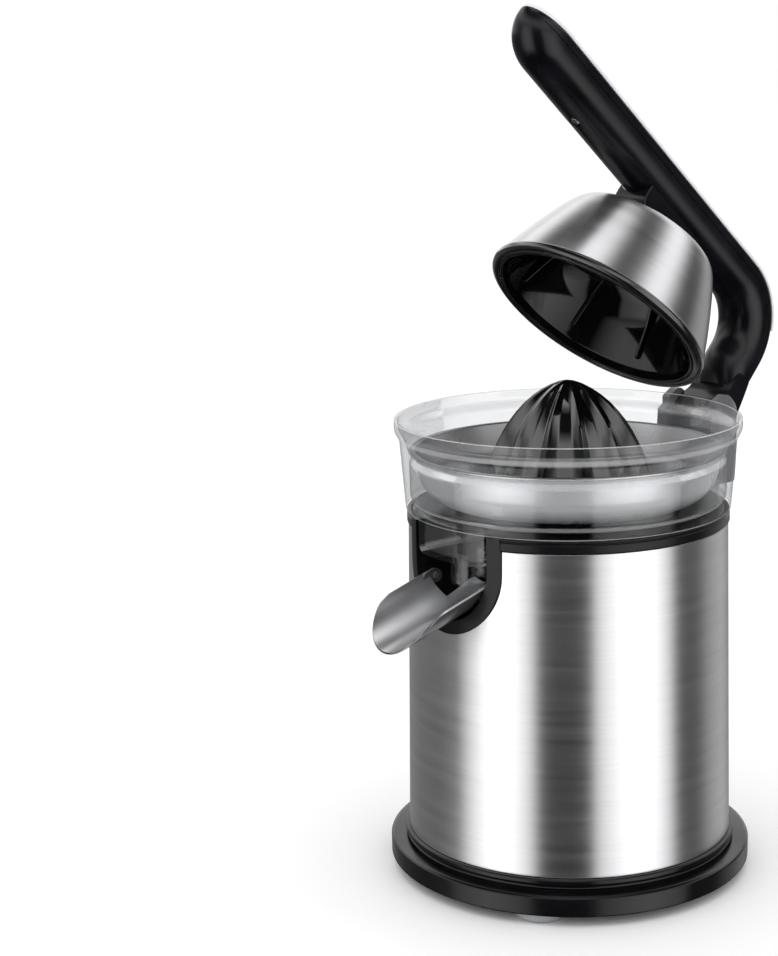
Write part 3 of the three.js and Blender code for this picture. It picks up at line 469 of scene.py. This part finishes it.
FEET = {
    "foot_front_right": (1, -1), "foot_front_left": (-1, -1), "foot_rear_right": (1, 1), "foot_rear_left": (-1, 1),
}
for name, (sx, sy) in FEET.items():
    foot = lathe(name + "_pad", [
        (0.0, 0.6), (7.6, 0.6, 0.3), (8.2, 0.0, 0.3), (11.0, 0.0, 0.7), (12.4, 1.8, 0.9), (12.5, 4.7, 0.3),
        (4.2, 4.7), (4.2, 7.7, 0.5), (0.0, 7.7),
    ], segments=64, centre=(FOOT_X * sx, FOOT_Y * sy))
    place(foot, FOOT_RUBBER, "housing", "foot_rubber", name)


# ---------------------------------------------------------------- body sleeve, trim and deck
def notch(half, bottom, top, steps=40):
    """The notch's outline across Y: straight sides and a half-round bottom."""
    centre = bottom + half
    angles = [math.pi + i * math.pi / steps for i in range(steps + 1)]
    arc = [(half * math.cos(angle), centre + half * math.sin(angle)) for angle in angles]
    return [(-half, top), *arc, (half, top)]


sleeve = lathe("steel_sleeve", [
    (82.3, 21.0), (82.3, 22.0), (80.0, 179.4), (80.0, SLEEVE_TOP, 0.3), (79.2, SLEEVE_TOP, 0.3),
    (79.2, 179.4), (81.5, 22.0), (81.5, 21.0),
], segments=256)
combine(sleeve, prism("cut", notch(*NOTCH_CUT, ABOVE), "y", OUTSIDE, -50.0))
combine(sleeve, rod("cut", "y", 7.2, 60.0, 95.0, 0.0, GLAND_Z))
place(sleeve, STEEL, "housing", "steel", "body_sleeve")

band = lathe("trim_band", [
    (78.6, 180.6, 0.3), (80.7, 180.6, 0.5), (80.7, 184.6, 0.4), (80.1, 184.9, 0.2), (80.1, 185.3, 0.2),
    (80.7, 185.6, 0.3), (80.6, DECK_TOP, 0.4), (78.6, DECK_TOP, 0.4),
], segments=256)
combine(band, prism("cut", [(-32.6, 170), (32.6, 170), (32.6, 200), (-32.6, 200)], "y", OUTSIDE, -50.0))
frame_u = prism("trim_frame", notch(*NOTCH_FRAME, DECK_TOP), "y", -90.0, -50.0)
combine(frame_u, prism("cut", notch(*NOTCH_OPEN, 200.0), "y", OUTSIDE, -45.0))
wrap = lathe("wrap", [(81.2, 120), (81.2, DECK_TOP), (77.0, DECK_TOP), (77.0, 120)], segments=256)
combine(frame_u, wrap, "INTERSECT")
soften(frame_u, 0.8, 4)
combine(band, frame_u, "UNION")
band["sharp"] = 50.0
place(band, TRIM_BLACK, "housing", "black", "trim_ring")

tray = lathe("deck_tray", [
    (78.1, 170.0, 0.4), (78.1, DECK_TOP, 0.8), (60.0, DECK_TOP), (13.0, DECK_TOP, 0.8), (11.6, 187.4, 0.8),
    (11.5, 205.5, 0.6), (8.0, 205.5, 0.4), (8.0, 189.0), (5.0, 189.0), (5.0, 183.5), (13.0, 183.5),
    (75.7, 183.5), (75.7, 170.0, 0.4),
], segments=200)
pocket = prism("pocket", notch(*NOTCH_WALL, 185.5), "y", -90.0, -45.5)
combine(pocket, lathe("round", [(0, 100), (76.7, 100), (76.7, 185.5), (0, 185.5)], segments=200), "INTERSECT")
hollow = prism("cut", notch(*NOTCH_OPEN, ABOVE), "y", -90.0, -48.0)
outer_gap = prism("cut", notch(*NOTCH_CUT, ABOVE), "y", OUTSIDE, -70.0)
combine(outer_gap, lathe("round", [(0, 90), (76.7, 90), (76.7, 270), (0, 270)], segments=200))
combine(tray, pocket, "UNION")
combine(tray, hollow)
combine(tray, outer_gap)
soften(tray, 0.5, 2, 45)
place(tray, TRIM_BLACK, "housing", "black", "deck")


# ---------------------------------------------------------------- hinge tower
tower = prism("tower", round_corners([
    (82, 190), (84, 223), (87.5, 225, 1.0), (87.5, 229.5, 1.0), (95.5, 234.3, 3.5), (106.8, 225, 3.0),
    (106.8, 200, 4.0), (104.5, 187, 4.0), (96, 170, 6.0), (84, 152), (80, 152),
], 5), "x", -19.3, 19.3)
upper = prism("plan", round_corners([
    (19.3, 78), (19.3, 100, 4.0), (15.5, 108, 2.0), (-15.5, 108, 2.0), (-19.3, 100, 4.0), (-19.3, 78)], 4),
    "z", DECK_TOP, 240.0)
lower = prism("plan", round_corners([
    (16.5, 78), (16.5, 88, 3.0), (7, 105, 3.0), (-7, 105, 3.0), (-16.5, 88, 3.0), (-16.5, 78)], 4),
    "z", 140.0, 190.4)
combine(upper, lower, "UNION")
combine(tower, upper, "INTERSECT")
combine(tower, prism("cut", [(88, 190), (160, 214), (160, 260), (60, 260), (60, 222.5), (88, 222.5)],
                     "x", -14.3, 14.3))
combine(tower, lathe("cut", [
    (0, 140), (80.98, 140), (80.4, SLEEVE_TOP), (81.2, 180.3), (81.2, 186.6), (82.4, 186.7), (84.9, 223),
    (0, 223),
], segments=256))
soften(tower, 0.9, 4, 40)
place(tower, TOWER_GREY, "housing", "black", "hinge_tower")

gland = lathe("gland_collar", [
    (3.4, 0, 0.4), (6.2, 0, 0.5), (8.2, 0.9, 0.6), (9.0, 2.6, 0.4), (9.0, 3.0), (6.6, 3.0), (6.6, 10.0),
    (3.4, 10.0)], segments=64)
for vertex in gland.data.vertices:    # turned to point backward, its outer face just behind the sleeve
    x, y, z = vertex.co.x, vertex.co.y - AXIS_Y, vertex.co.z
    vertex.co = Vector((x, (85.4 * MM - z) + AXIS_Y, GLAND_Z * MM + y))
tidy_mesh(gland.data)
place(gland, SEAL_RUBBER, "housing", "seal_rubber", "cord_gland")


# ---------------------------------------------------------------- collector and strainer
collector = lathe("clear_collector", [
    (12.6, 186.9, 0.4), (78.5, 186.9), (81.2, 186.9, 1.2), (81.6, 192.0), (84.0, 222.0, 1.5),
    (86.5, 226.5, 1.5), (86.5, 232.0, 0.8), (84.8, 232.0, 0.7), (84.6, 227.6, 1.2), (81.6, 222.0, 1.5),
    (79.4, 214.9, 0.3), (77.0, 214.9, 0.3), (77.0, 213.2, 0.3), (79.2, 210.0, 1.0), (78.9, 192.0, 2.5),
    (75.0, 189.1, 2.0), (14.8, 189.1, 0.5), (14.8, 200.0, 0.6), (12.6, 200.0, 0.6),
], segments=256, steps=5)
chute = prism("chute", round_corners([
    (-24.6, 188.0), (-24.6, 171.0, 6.0), (24.6, 171.0, 6.0), (24.6, 188.0)], 6), "y", -90.0, -50.4)
combine(chute, lathe("round", [(0, 160), (80.4, 160), (80.4, 200), (0, 200)], segments=256), "INTERSECT")
inside = prism("inside", round_corners([
    (-22.4, 190.0), (-22.4, 173.2, 5.0), (22.4, 173.2, 5.0), (22.4, 190.0)], 6), "y", -90.0, -52.6)
combine(inside, lathe("round", [(0, 160), (78.2, 160), (78.2, 200), (0, 200)], segments=256), "INTERSECT")
combine(collector, chute, "UNION")
combine(collector, rod("nozzle", "z", 10.6, 158.0, 172.0, 0.0, NOZZLE_Y, 64), "UNION")
combine(collector, inside)
combine(collector, rod("cut", "z", 8.8, 150.0, 180.0, 0.0, NOZZLE_Y, 64))
soften(collector, 0.45, 3, 45)
place(collector, CLEAR, "housing", "clear", "collector")

SLOTS = 16
strainer = lathe("steel_strainer", [
    (75.9, 216.2, 0.5), (77.6, 216.6, 0.8), (78.9, 216.2, 0.4), (78.9, 215.3, 0.3), (77.0, 215.2, 0.8),
    (76.2, 213.4, 0.8), (75.0, 206.0, 3.0), (73.7, 200.2, 2.5), (69.8, 194.8, 3.5), (63.0, 190.5, 4.0),
    (20.0, 190.4, 1.5), (19.4, 197.0, 0.4), (20.4, 197.0, 0.4), (21.0, 191.4, 1.2), (62.7, 191.5, 4.0),
    (69.0, 195.5, 3.5), (72.8, 200.5, 2.5), (74.1, 206.1, 3.0),
], segments=220)
slot = prism("cut", round_corners([
    (28, -1.3, 1.3), (47, -1.3, 1.3), (47, 1.3, 1.3), (28, 1.3, 1.3)], 4), "z", 184.0, 199.0)
combine(strainer, spin_copies(turned(slot, math.pi / SLOTS), SLOTS))
place(strainer, BOWL_STEEL_PAINTED_LIGHT, "housing", "steel", "strainer")


# ---------------------------------------------------------------- spout
def spout_piece():
    """A pressed trough, drawn level with its edges at z = 0 and its rear end at y = 0, then tilted by slope."""
    arc, half, length, slope, wall = 23.2, 21.3, 50.0, 16.5, 1.1
    overlap, rear_y, rear_z = 3.5, -78.0, 160.0
    spread = math.asin(half / arc)
    centre = arc * math.cos(spread)
    depth = arc - centre
    across, lengthwise = 36, 40
    lip = 25.5

    def reach(x):
        """How far forward the lip goes at x."""
        share = min(abs(x) / half, 1.0)
        return length - lip + lip * (1 - share ** 2.2) ** 0.5

    def surface(radius):
        rows = []
        for j in range(lengthwise + 1):
            row = []
            for i in range(across + 1):
                angle = -spread + 2 * spread * i / across
                x = radius * math.sin(angle)
                y = -reach(arc * math.sin(angle)) * j / lengthwise
                row.append((x, y, centre - radius * math.cos(angle)))
            rows.append(row)
        return rows

    inner, outer = surface(arc), surface(arc + wall)
    rings = [a + list(reversed(b)) for a, b in zip(inner, outer)]
    body = loft("spout_trough", rings)
    scoop = []
    tongue = ((-3.0, 0.05, 11.5), (2.0, 0.25, 11.4), (6.0, 0.8, 11.0), (9.5, 1.5, 10.4), (12.5, 2.7, 9.4),
              (14.6, 4.0, 7.6), (15.8, 5.0, 5.0))
    for y, rise, reach_x in tongue:   # how far back, how far above the trough's bottom, half width
        z = rise - depth
        top = [(reach_x * (2 * k / 12 - 1), y, z + 1.6 * (2 * k / 12 - 1) ** 2) for k in range(13)]
        scoop.append(top + [(x, yy + 0.35, zz - wall) for x, yy, zz in reversed(top)])
    combine(body, loft("scoop", scoop), "UNION")
    turn = Matrix.Rotation(math.radians(slope), 4, "X")
    shift = Vector((0, rear_y + overlap, rear_z + overlap * math.tan(math.radians(slope))))
    for vertex in body.data.vertices:
        local = Vector((vertex.co.x, vertex.co.y - AXIS_Y, vertex.co.z)) / MM
        vertex.co = at(*(turn @ local + shift))
    ear = round_corners([
        (-77.5, 159.8, 1.0), (-70.5, 162.4, 2.0), (-65.9, 160.5, 2.5), (-65.9, 156.1, 2.5),
        (-68.5, 154.7, 1.5), (-77.0, 154.8, 1.0)], 5)
    for start in (-half + 0.1, half - 1.3):
        combine(body, prism("ear", ear, "x", start, start + 1.2), "UNION")
    combine(body, rod("cut", "x", 2.1, -40.0, 40.0, PIVOT_Y, PIVOT_Z, 32))
    soften(body, 0.25, 2, 45)
    return body


place(spout_piece(), SPOUT_STEEL_PAINTED_LIGHT, "spout", "steel", "spout")

for side, name in ((-1, "spout_pivot_left"), (1, "spout_pivot_right")):
    ends = sorted((19.8 * side, 28.4 * side))
    pin = soften(rod(name + "_pin", "x", 1.8, ends[0], ends[1], PIVOT_Y, PIVOT_Z, 32), 0.3, 2)
    place(pin, ZINC, "housing", "zinc", name)


# ---------------------------------------------------------------- reamer
def reamer_piece():
    """A dome with twelve sharp ribs over round flutes, hollow below, on a hexagon socket."""
    levels = [                        # height, radius at the ribs, flute's depth as a share of the radius
        (198.0, 41.6, 0.0), (198.4, 42.2, 0.0), (199.6, 42.4, 0.0), (200.2, 42.3, 0.02), (200.8, 42.2, 0.11),
        (204.0, 41.8, 0.15), (208.0, 40.6, 0.165), (213.0, 38.7, 0.175), (218.0, 36.2, 0.18),
        (223.0, 33.6, 0.18), (228.0, 30.4, 0.18), (233.0, 26.6, 0.18), (238.0, 22.0, 0.185),
        (242.0, 17.4, 0.18), (245.5, 12.4, 0.16), (248.0, 7.8, 0.12), (249.4, 4.2, 0.06), (250.0, 0.8, 0.0),
    ]
    hollow = [                        # height, radius
        (198.0, 34.2), (203.0, 34.0), (208.0, 32.6), (213.0, 30.2), (218.0, 27.8), (223.0, 25.4),
        (228.0, 22.6), (232.4, 19.0), (234.6, 12.0), (236.0, 1.0),
    ]
    ribs = 12
    count = 24 * ribs

    def ring(z, radius, groove=0.0):
        out = []
        for i in range(count):
            angle = 2 * math.pi * i / count
            flute = groove * min(1.0, 1.25 * abs(math.sin(angle * ribs / 2)) ** 0.8)
            r = max(radius * (1 - flute), 0.2)
            out.append((r * math.cos(angle), r * math.sin(angle), z))
        return out

    rings = [ring(*level) for level in reversed(hollow)] + [ring(*level) for level in levels]
    body = loft("reamer_cone", rings, sharp=50.0)
    skirt = lathe("skirt", [(17.4, 194.0, 0.4), (17.4, 235.0), (15.4, 235.2), (15.4, 194.0, 0.4)], segments=64)
    boss = prism("boss", disc_outline(12.5, 48), "z", 208.5, 237.5)
    combine(boss, prism("cut", disc_outline(9.4, 6), "z", 190.0, 227.2))
    combine(body, skirt, "UNION")
    combine(body, boss, "UNION")
    body["sharp"] = 50.0
    return body


place(reamer_piece(), GLOSS_BLACK, "reamer", "gloss", "reamer")


# ---------------------------------------------------------------- lever arm, drawn closed
def arm_stations():
    """Points down the arm's outer line with the outward direction, half width and depth at each."""
    out = [(BACK, 236 + 16 * k / 6, 1.0, 0.0, ARM_HALF, ARM_DEEP - 8.0 + 8.0 * math.sin(math.pi / 2 * k / 6))
           for k in range(7)]
    for k in range(25):
        angle = k * math.pi / 48
        c, s = math.cos(angle), math.sin(angle)
        out.append((BACK - BEND + BEND * c, TOP - BEND + BEND * s, c, s, ARM_HALF, ARM_DEEP))
    for k in range(1, 25):
        out.append((BACK - BEND + (TIP_START - BACK + BEND) * k / 24, TOP, 0.0, 1.0, ARM_HALF, ARM_DEEP))
    for k in range(1, 19):
        share = math.sin(math.pi / 2 * k / 18.3)
        size = math.sqrt(1 - share * share)
        out.append((TIP_START + share * (TIP - TIP_START), TOP, 0.0, 1.0, ARM_HALF * size, ARM_DEEP * size))
    return out


def arm_ring(station, grow=0.0, groove=True):
    """The arm's cross-section at a station: flat outside, round inside, with a fine groove down each side."""
    y, z, ny, nz, half, deep = station
    low = min(half, deep * 0.72)
    edge = min(1.5, half * 0.3)
    right = [(half - edge, 0.0), (half - 0.4 * edge, 0.12 * edge), (half - 0.1 * edge, 0.45 * edge),
             (half, edge)]
    if groove:
        line, share = 0.23 * deep, half / ARM_HALF
        right += [(half, line - 0.45 * share), (half - 0.4 * share, line - 0.25 * share),
                  (half - 0.4 * share, line + 0.25 * share), (half, line + 0.45 * share)]
    right += [(half * math.cos(k * math.pi / 28), deep - low + low * math.sin(k * math.pi / 28))
              for k in range(14)]
    right.append((0.0, deep))
    outline = right + [(-x, d) for x, d in reversed(right[:-1])]
    return [(x * (1 + grow / max(half, 1)), y - d * ny, z - d * nz) for x, d in outline]


def arm_piece():
    body = loft("arm_body", [arm_ring(s) for s in arm_stations()], sharp=45.0)
    root = prism("root", round_corners([
        (88.6, 219.5), (88.8, 225, 1.0), (92.4, 233, 2.5), (92.2, 246, 3.0), (102, 246, 1.0),
        (103.9, 238, 4.0), (107.3, 221, 2.0), (104, 214)], 5), "x", -ARM_HALF, ARM_HALF)
    eye = rod("eye", "x", 9.4, -ARM_HALF, ARM_HALF, HINGE_Y, HINGE_Z, 64)
    combine(root, eye, "UNION")
    soften(root, 1.0, 4, 40)
    combine(body, root, "UNION")
    combine(body, rod("cut", "x", 5.5, -30, 30, HINGE_Y, HINGE_Z, 48))
    groove = prism("cut", round_corners([
        (-6.5, -103.3, 6.4), (6.5, -103.3, 6.4), (6.5, -34.7, 6.4), (-6.5, -34.7, 6.4)], 8), "z", 200.0, 277.9)
    combine(body, groove)
    combine(body, rod("cut", "z", 2.3, 260.0, 288.0, 0, 0, 24))
    body["sharp"] = 42.0
    return body


place(arm_piece(), SATIN_BLACK, "arm", "black", "arm_shell", matrix=ARM_OPEN)

# The lid lies in a long pocket in the underside.
lid = prism("arm_lid", round_corners([
    (-6.3, -103.1, 6.2), (6.3, -103.1, 6.2), (6.3, -34.9, 6.2), (-6.3, -34.9, 6.2)], 8), "z", 270.0, 277.6)
combine(lid, loft("round", [arm_ring(s, 0.0, False) for s in arm_stations()[24:56]]), "INTERSECT")
combine(lid, lathe("cut", [(0, 270), (3.4, 270), (3.1, 276.2), (1.5, 276.4), (1.5, 280), (0, 280)], 40,
                   centre=(0, LID_SCREW_Y)))
soften(lid, 0.15, 2, 40)
place(lid, SATIN_BLACK, "arm", "black", "arm_cover", matrix=ARM_OPEN)

screw = lathe("lid_screw", [
    (0, 274.9), (2.0, 274.9, 0.8), (2.8, 275.7, 0.3), (1.2, 276.0), (1.2, 287.0), (0, 287.0)], 48,
    centre=(0, LID_SCREW_Y))
for half_x, half_y in ((0.38, 1.5), (1.5, 0.38)):    # the two bars of its cross slot
    bar = [(-half_x, LID_SCREW_Y - half_y), (half_x, LID_SCREW_Y - half_y),
           (half_x, LID_SCREW_Y + half_y), (-half_x, LID_SCREW_Y + half_y)]
    combine(screw, prism("cut", bar, "z", 273.0, 275.5))
place(screw, ZINC, "arm", "zinc", "arm_cover_screw", matrix=ARM_OPEN)

plate_rings = []
for y, z, ny, nz, half, deep in arm_stations()[15:]:
    wide = max(half - 0.15, 0.5)
    edge = min(0.35, 0.3 * wide)
    outline = [(-wide, 0.1), (-wide, 1.3), (-wide + edge, 1.65), (0.0, 1.75), (wide - edge, 1.65), (wide, 1.3),
               (wide, 0.1)]
    plate_rings.append([(x, y + out * ny, z + out * nz) for x, out in outline])
place(loft("arm_plate", plate_rings, sharp=45.0), SILVER, "arm", "silver", "arm_top_plate", matrix=ARM_OPEN)


# ---------------------------------------------------------------- press cup, drawn closed
def cup_profile(corners):
    """Corners given as radius and height over the cup's mouth."""
    return [(r, CUP_MOUTH + t, *rest) for r, t, *rest in corners]


shell = lathe("cup_steel", cup_profile([
    (58.4, 4.3, 0.3), (54.4, 16, 3.0), (49.9, 28, 4.0), (44.9, 40, 3.0), (41.3, 47.2, 2.6), (38.9, 50.2, 1.6),
    (36, 51, 1.5), (2.6, 51.0), (2.6, 50.0), (35.6, 50.0, 1.2), (38.2, 49.2, 1.5), (40.5, 46.7, 2.0),
    (44, 39.6, 3.0), (49, 27.6, 4.0), (53.5, 15.6, 3.0), (57.4, 4.3, 0.3)]), segments=220, steps=6)
place(shell, CUP_STEEL, "arm", "steel", "cup_shell", matrix=ARM_OPEN)

lip = lathe("cup_lip", cup_profile([
    (54.8, 0.1, 0.8), (57.6, 0.0, 0.8), (59.2, 0.8, 0.9), (59.5, 3.2, 0.5), (58.9, 4.05, 0.4),
    (54.8, 4.05, 0.3)]), segments=220)
place(lip, GLOSS_BLACK, "arm", "gloss", "cup_ring", matrix=ARM_OPEN)

dome = lathe("cup_dome", cup_profile([
    (52.9, 0.3, 0.5), (54.5, 0.3, 0.5), (54.5, 4.4, 1.0), (47.4, 27.6, 5.0), (42, 38, 4.0), (34.4, 45.2, 4.0),
    (20, 48.8, 4.0), (2.3, 49.6), (2.3, 47.9), (19.6, 46.9, 4.0), (33, 43.4, 4.0), (40.2, 37, 4.0),
    (45.4, 27.2, 5.0), (52.8, 4.4, 1.0)]), segments=200, steps=6)
fin = prism("fin", round_corners([
    (49.0, CUP_MOUTH + 9.5, 1.0), (52.6, CUP_MOUTH + 9.5), (47.2, CUP_MOUTH + 28.0), (41.2, CUP_MOUTH + 38.4),
    (36.0, CUP_MOUTH + 43.0), (34.0, CUP_MOUTH + 38.6, 3.0), (42.6, CUP_MOUTH + 26.0, 5.0)], 4), "y", -0.9, 0.9)
soften(fin, 0.5, 3, 50)
combine(dome, spin_copies(turned(fin, math.radians(15)), 8), "UNION")
dome["sharp"] = 40.0
place(dome, LINER_BLACK, "arm", "gloss", "cup_liner", matrix=ARM_OPEN)

bolt = lathe("cup_bolt", cup_profile([
    (0, 45.7), (3.6, 45.7, 1.2), (5.0, 46.6, 0.4), (5.0, 47.3, 0.2), (2.0, 47.3), (2.0, 77.0), (0, 77.0)]), 48)
combine(bolt, prism("cut", disc_outline(2.0, 6), "z", CUP_MOUTH + 44, CUP_MOUTH + 46.6))
place(bolt, ZINC, "arm", "zinc", "cup_screw", matrix=ARM_OPEN)

neck = prism("cup_neck", round_corners([
    (-13, CUP_TOP + 0.3, 0.6), (17, CUP_TOP + 0.3, 0.6), (24, 270, 3.0), (24, 284), (-22, 284),
    (-22, 270, 3.0)], 5), "x", -11.0, 11.0)
soften(neck, 1.2, 4, 40)
seat = [arm_ring((y + 0.3 * ny, z + 0.3 * nz, ny, nz, half + 0.3, deep + 0.6), 0.35, False)
        for y, z, ny, nz, half, deep in arm_stations()[20:60]]
combine(neck, loft("cut", seat))
combine(neck, rod("cut", "z", 2.3, 250.0, 290.0, 0, 0, 24))
place(neck, SATIN_BLACK, "arm", "black", "cup_bracket", matrix=ARM_OPEN)


# ---------------------------------------------------------------- floor, light and camera
USUAL_VIEW = -38.0                    # the compass direction that the room's bands are laid out from, degrees


def pale_floor():
    """A wide matt floor that does not show in the steel."""
    material, n, shader = new_material("pale_floor")
    place_at = n.add("ShaderNodeTexCoord").outputs["Object"]
    cloud = n.add("ShaderNodeTexNoise", {"Vector": place_at, "Scale": 3.0, "Detail": 3.0}).outputs["Fac"]
    n.tree.links.new(n.blend(cloud, (0.88, 0.88, 0.88), (0.92, 0.92, 0.92)), shader.inputs["Base Color"])
    shader.inputs["Roughness"].default_value = 0.6
    shader.inputs["Specular IOR Level"].default_value = 0.15
    mesh = bpy.data.meshes.new("floor")
    reach = 9.0                       # metres
    mesh.from_pydata([(-reach, -reach, 0), (reach, -reach, 0), (reach, reach, 0), (-reach, reach, 0)], [],
                     [(0, 1, 2, 3)])
    floor = bpy.data.objects.new("floor", mesh)
    floor.data.materials.append(material)
    floor.visible_glossy = False
    bpy.context.collection.objects.link(floor)


def compass(bands):
    """Ramp stops from (degrees off the usual view, brightness) pairs, joined up where the circle closes."""
    placed = sorted((((USUAL_VIEW + offset + 180) % 360) / 360, value) for offset, value in bands)
    join = (placed[0][1] + placed[-1][1]) / 2
    return [(0.0, join), *placed, (1.0, join)]


def grey_ramp(n, value, stops):
    """A colour ramp through (position, brightness) stops."""
    ramp = n.add("ShaderNodeValToRGB", {0: value})
    elements = ramp.color_ramp.elements
    elements[0].position, elements[1].position = stops[0][0], stops[-1][0]
    elements[0].color, elements[1].color = (*[stops[0][1]] * 3, 1), (*[stops[-1][1]] * 3, 1)
    for position, brightness in stops[1:-1]:
        elements.new(position).color = (brightness, brightness, brightness, 1)
    return ramp.outputs[0]


def studio_world():
    """A white room: two tall soft boxes either side of the camera's usual place, and greyer walls between."""
    world = bpy.data.worlds.new("studio")
    world.use_nodes = True
    tree = world.node_tree
    n = Nodes(tree)
    background = tree.nodes["Background"]
    way = n.add("ShaderNodeSeparateXYZ", {0: n.add("ShaderNodeTexCoord").outputs["Generated"]}).outputs
    turn = n.math("ARCTAN2", way["Y"], way["X"])
    share = n.math("ADD", n.math("MULTIPLY", turn, 1 / (2 * math.pi)), 0.5)
    low_bands = [                     # beside and below the object
        (-180, 0.24), (-150, 0.2), (-110, 0.12), (-88, 0.25), (-80, 1.1), (-58, 2.3), (-44, 2.0), (-30, 1.2),
        (-26, 0.02), (11, 0.02), (15, 1.2), (32, 1.9), (44, 2.3), (57, 2.0), (72, 1.1), (77, 0.06),
        (100, 0.1), (113, 0.4), (136, 0.55), (150, 0.3), (165, 0.22),
    ]
    high_bands = [                    # just above it
        (-180, 1.4), (-150, 1.1), (-110, 0.8), (-88, 0.3), (-80, 1.1), (-58, 2.2), (-30, 1.2), (-26, 0.02),
        (11, 0.02), (15, 1.2), (44, 2.2), (60, 1.6), (70, 0.3), (84, 0.05), (116, 0.05), (132, 0.4),
        (145, 1.0), (165, 1.4),
    ]
    rings = [                         # overhead, by height
        (0.0, 0.5), (0.36, 0.7), (0.48, 1.8), (0.62, 1.6), (0.70, 0.6), (0.76, 0.03), (0.91, 0.03),
        (0.945, 0.8), (0.975, 2.2), (1.0, 2.2),
    ]
    low_light = grey_ramp(n, share, compass(low_bands))
    high_light = grey_ramp(n, share, compass(high_bands))
    ring_light = grey_ramp(n, way["Z"], rings)
    sides = n.blend(n.ramp(way["Z"], 0.0, 1.0, 0.0, 0.06), low_light, high_light)
    upward = n.blend(n.ramp(way["Z"], 0.0, 1.0, 0.28, 0.36), sides, ring_light)
    light = n.blend(n.ramp(way["Z"], 1.0, 0.0, -0.66, -0.5), upward, (0.02, 0.02, 0.02))
    path = n.add("ShaderNodeLightPath").outputs
    even = n.blend(path["Is Diffuse Ray"], light, (1.14, 1.14, 1.14))
    shown = n.blend(path["Is Camera Ray"], even, (1.0, 1.0, 1.0))
    tree.links.new(shown, background.inputs["Color"])
    background.inputs["Strength"].default_value = 1.0
    bpy.context.scene.world = world


def top_box():
    """A large soft box overhead, which does not show in the steel."""
    light = bpy.data.lights.new("top_box", "AREA")
    light.shape = "RECTANGLE"
    light.size, light.size_y = 2.0, 2.0
    light.energy = 6.0
    place_at, target = Vector((0.3, -0.4, 2.2)), Vector((0, 0, 0.1))
    obj = bpy.data.objects.new("top_box", light)
    obj.location = place_at
    obj.rotation_euler = (target - place_at).to_track_quat("-Z", "Y").to_euler()
    obj.visible_glossy = False
    bpy.context.collection.objects.link(obj)


def photo_camera():
    """The camera: how far round the housing it stands, how far off and how high, and how it is turned."""
    aside, distance, height = math.radians(46.85), 988.41, 407.63
    yaw, pitch, roll = math.radians(5.19), math.radians(11.79), math.radians(-1.26)
    spot = at(math.sin(aside) * distance, -math.cos(aside) * distance, height)
    a = aside + yaw
    ahead = Vector((-math.sin(a) * math.cos(pitch), math.cos(a) * math.cos(pitch), -math.sin(pitch)))
    level = Vector((math.cos(a), math.sin(a), 0.0))
    above = level.cross(ahead)
    right = level * math.cos(roll) + above * math.sin(roll)
    up = -level * math.sin(roll) + above * math.cos(roll)
    data = bpy.data.cameras.new("camera")
    data.sensor_width = 36.0
    data.lens = 75.4908
    data.clip_start, data.clip_end = 0.02, 60.0
    camera = bpy.data.objects.new("camera", data)
    turn = Matrix((right, up, -ahead)).transposed()
    camera.matrix_world = Matrix.Translation(spot) @ turn.to_4x4()
    bpy.context.collection.objects.link(camera)
    bpy.context.scene.camera = camera


photo_camera()
pale_floor()
studio_world()
top_box()
bpy.context.scene.view_settings.view_transform = "Standard"
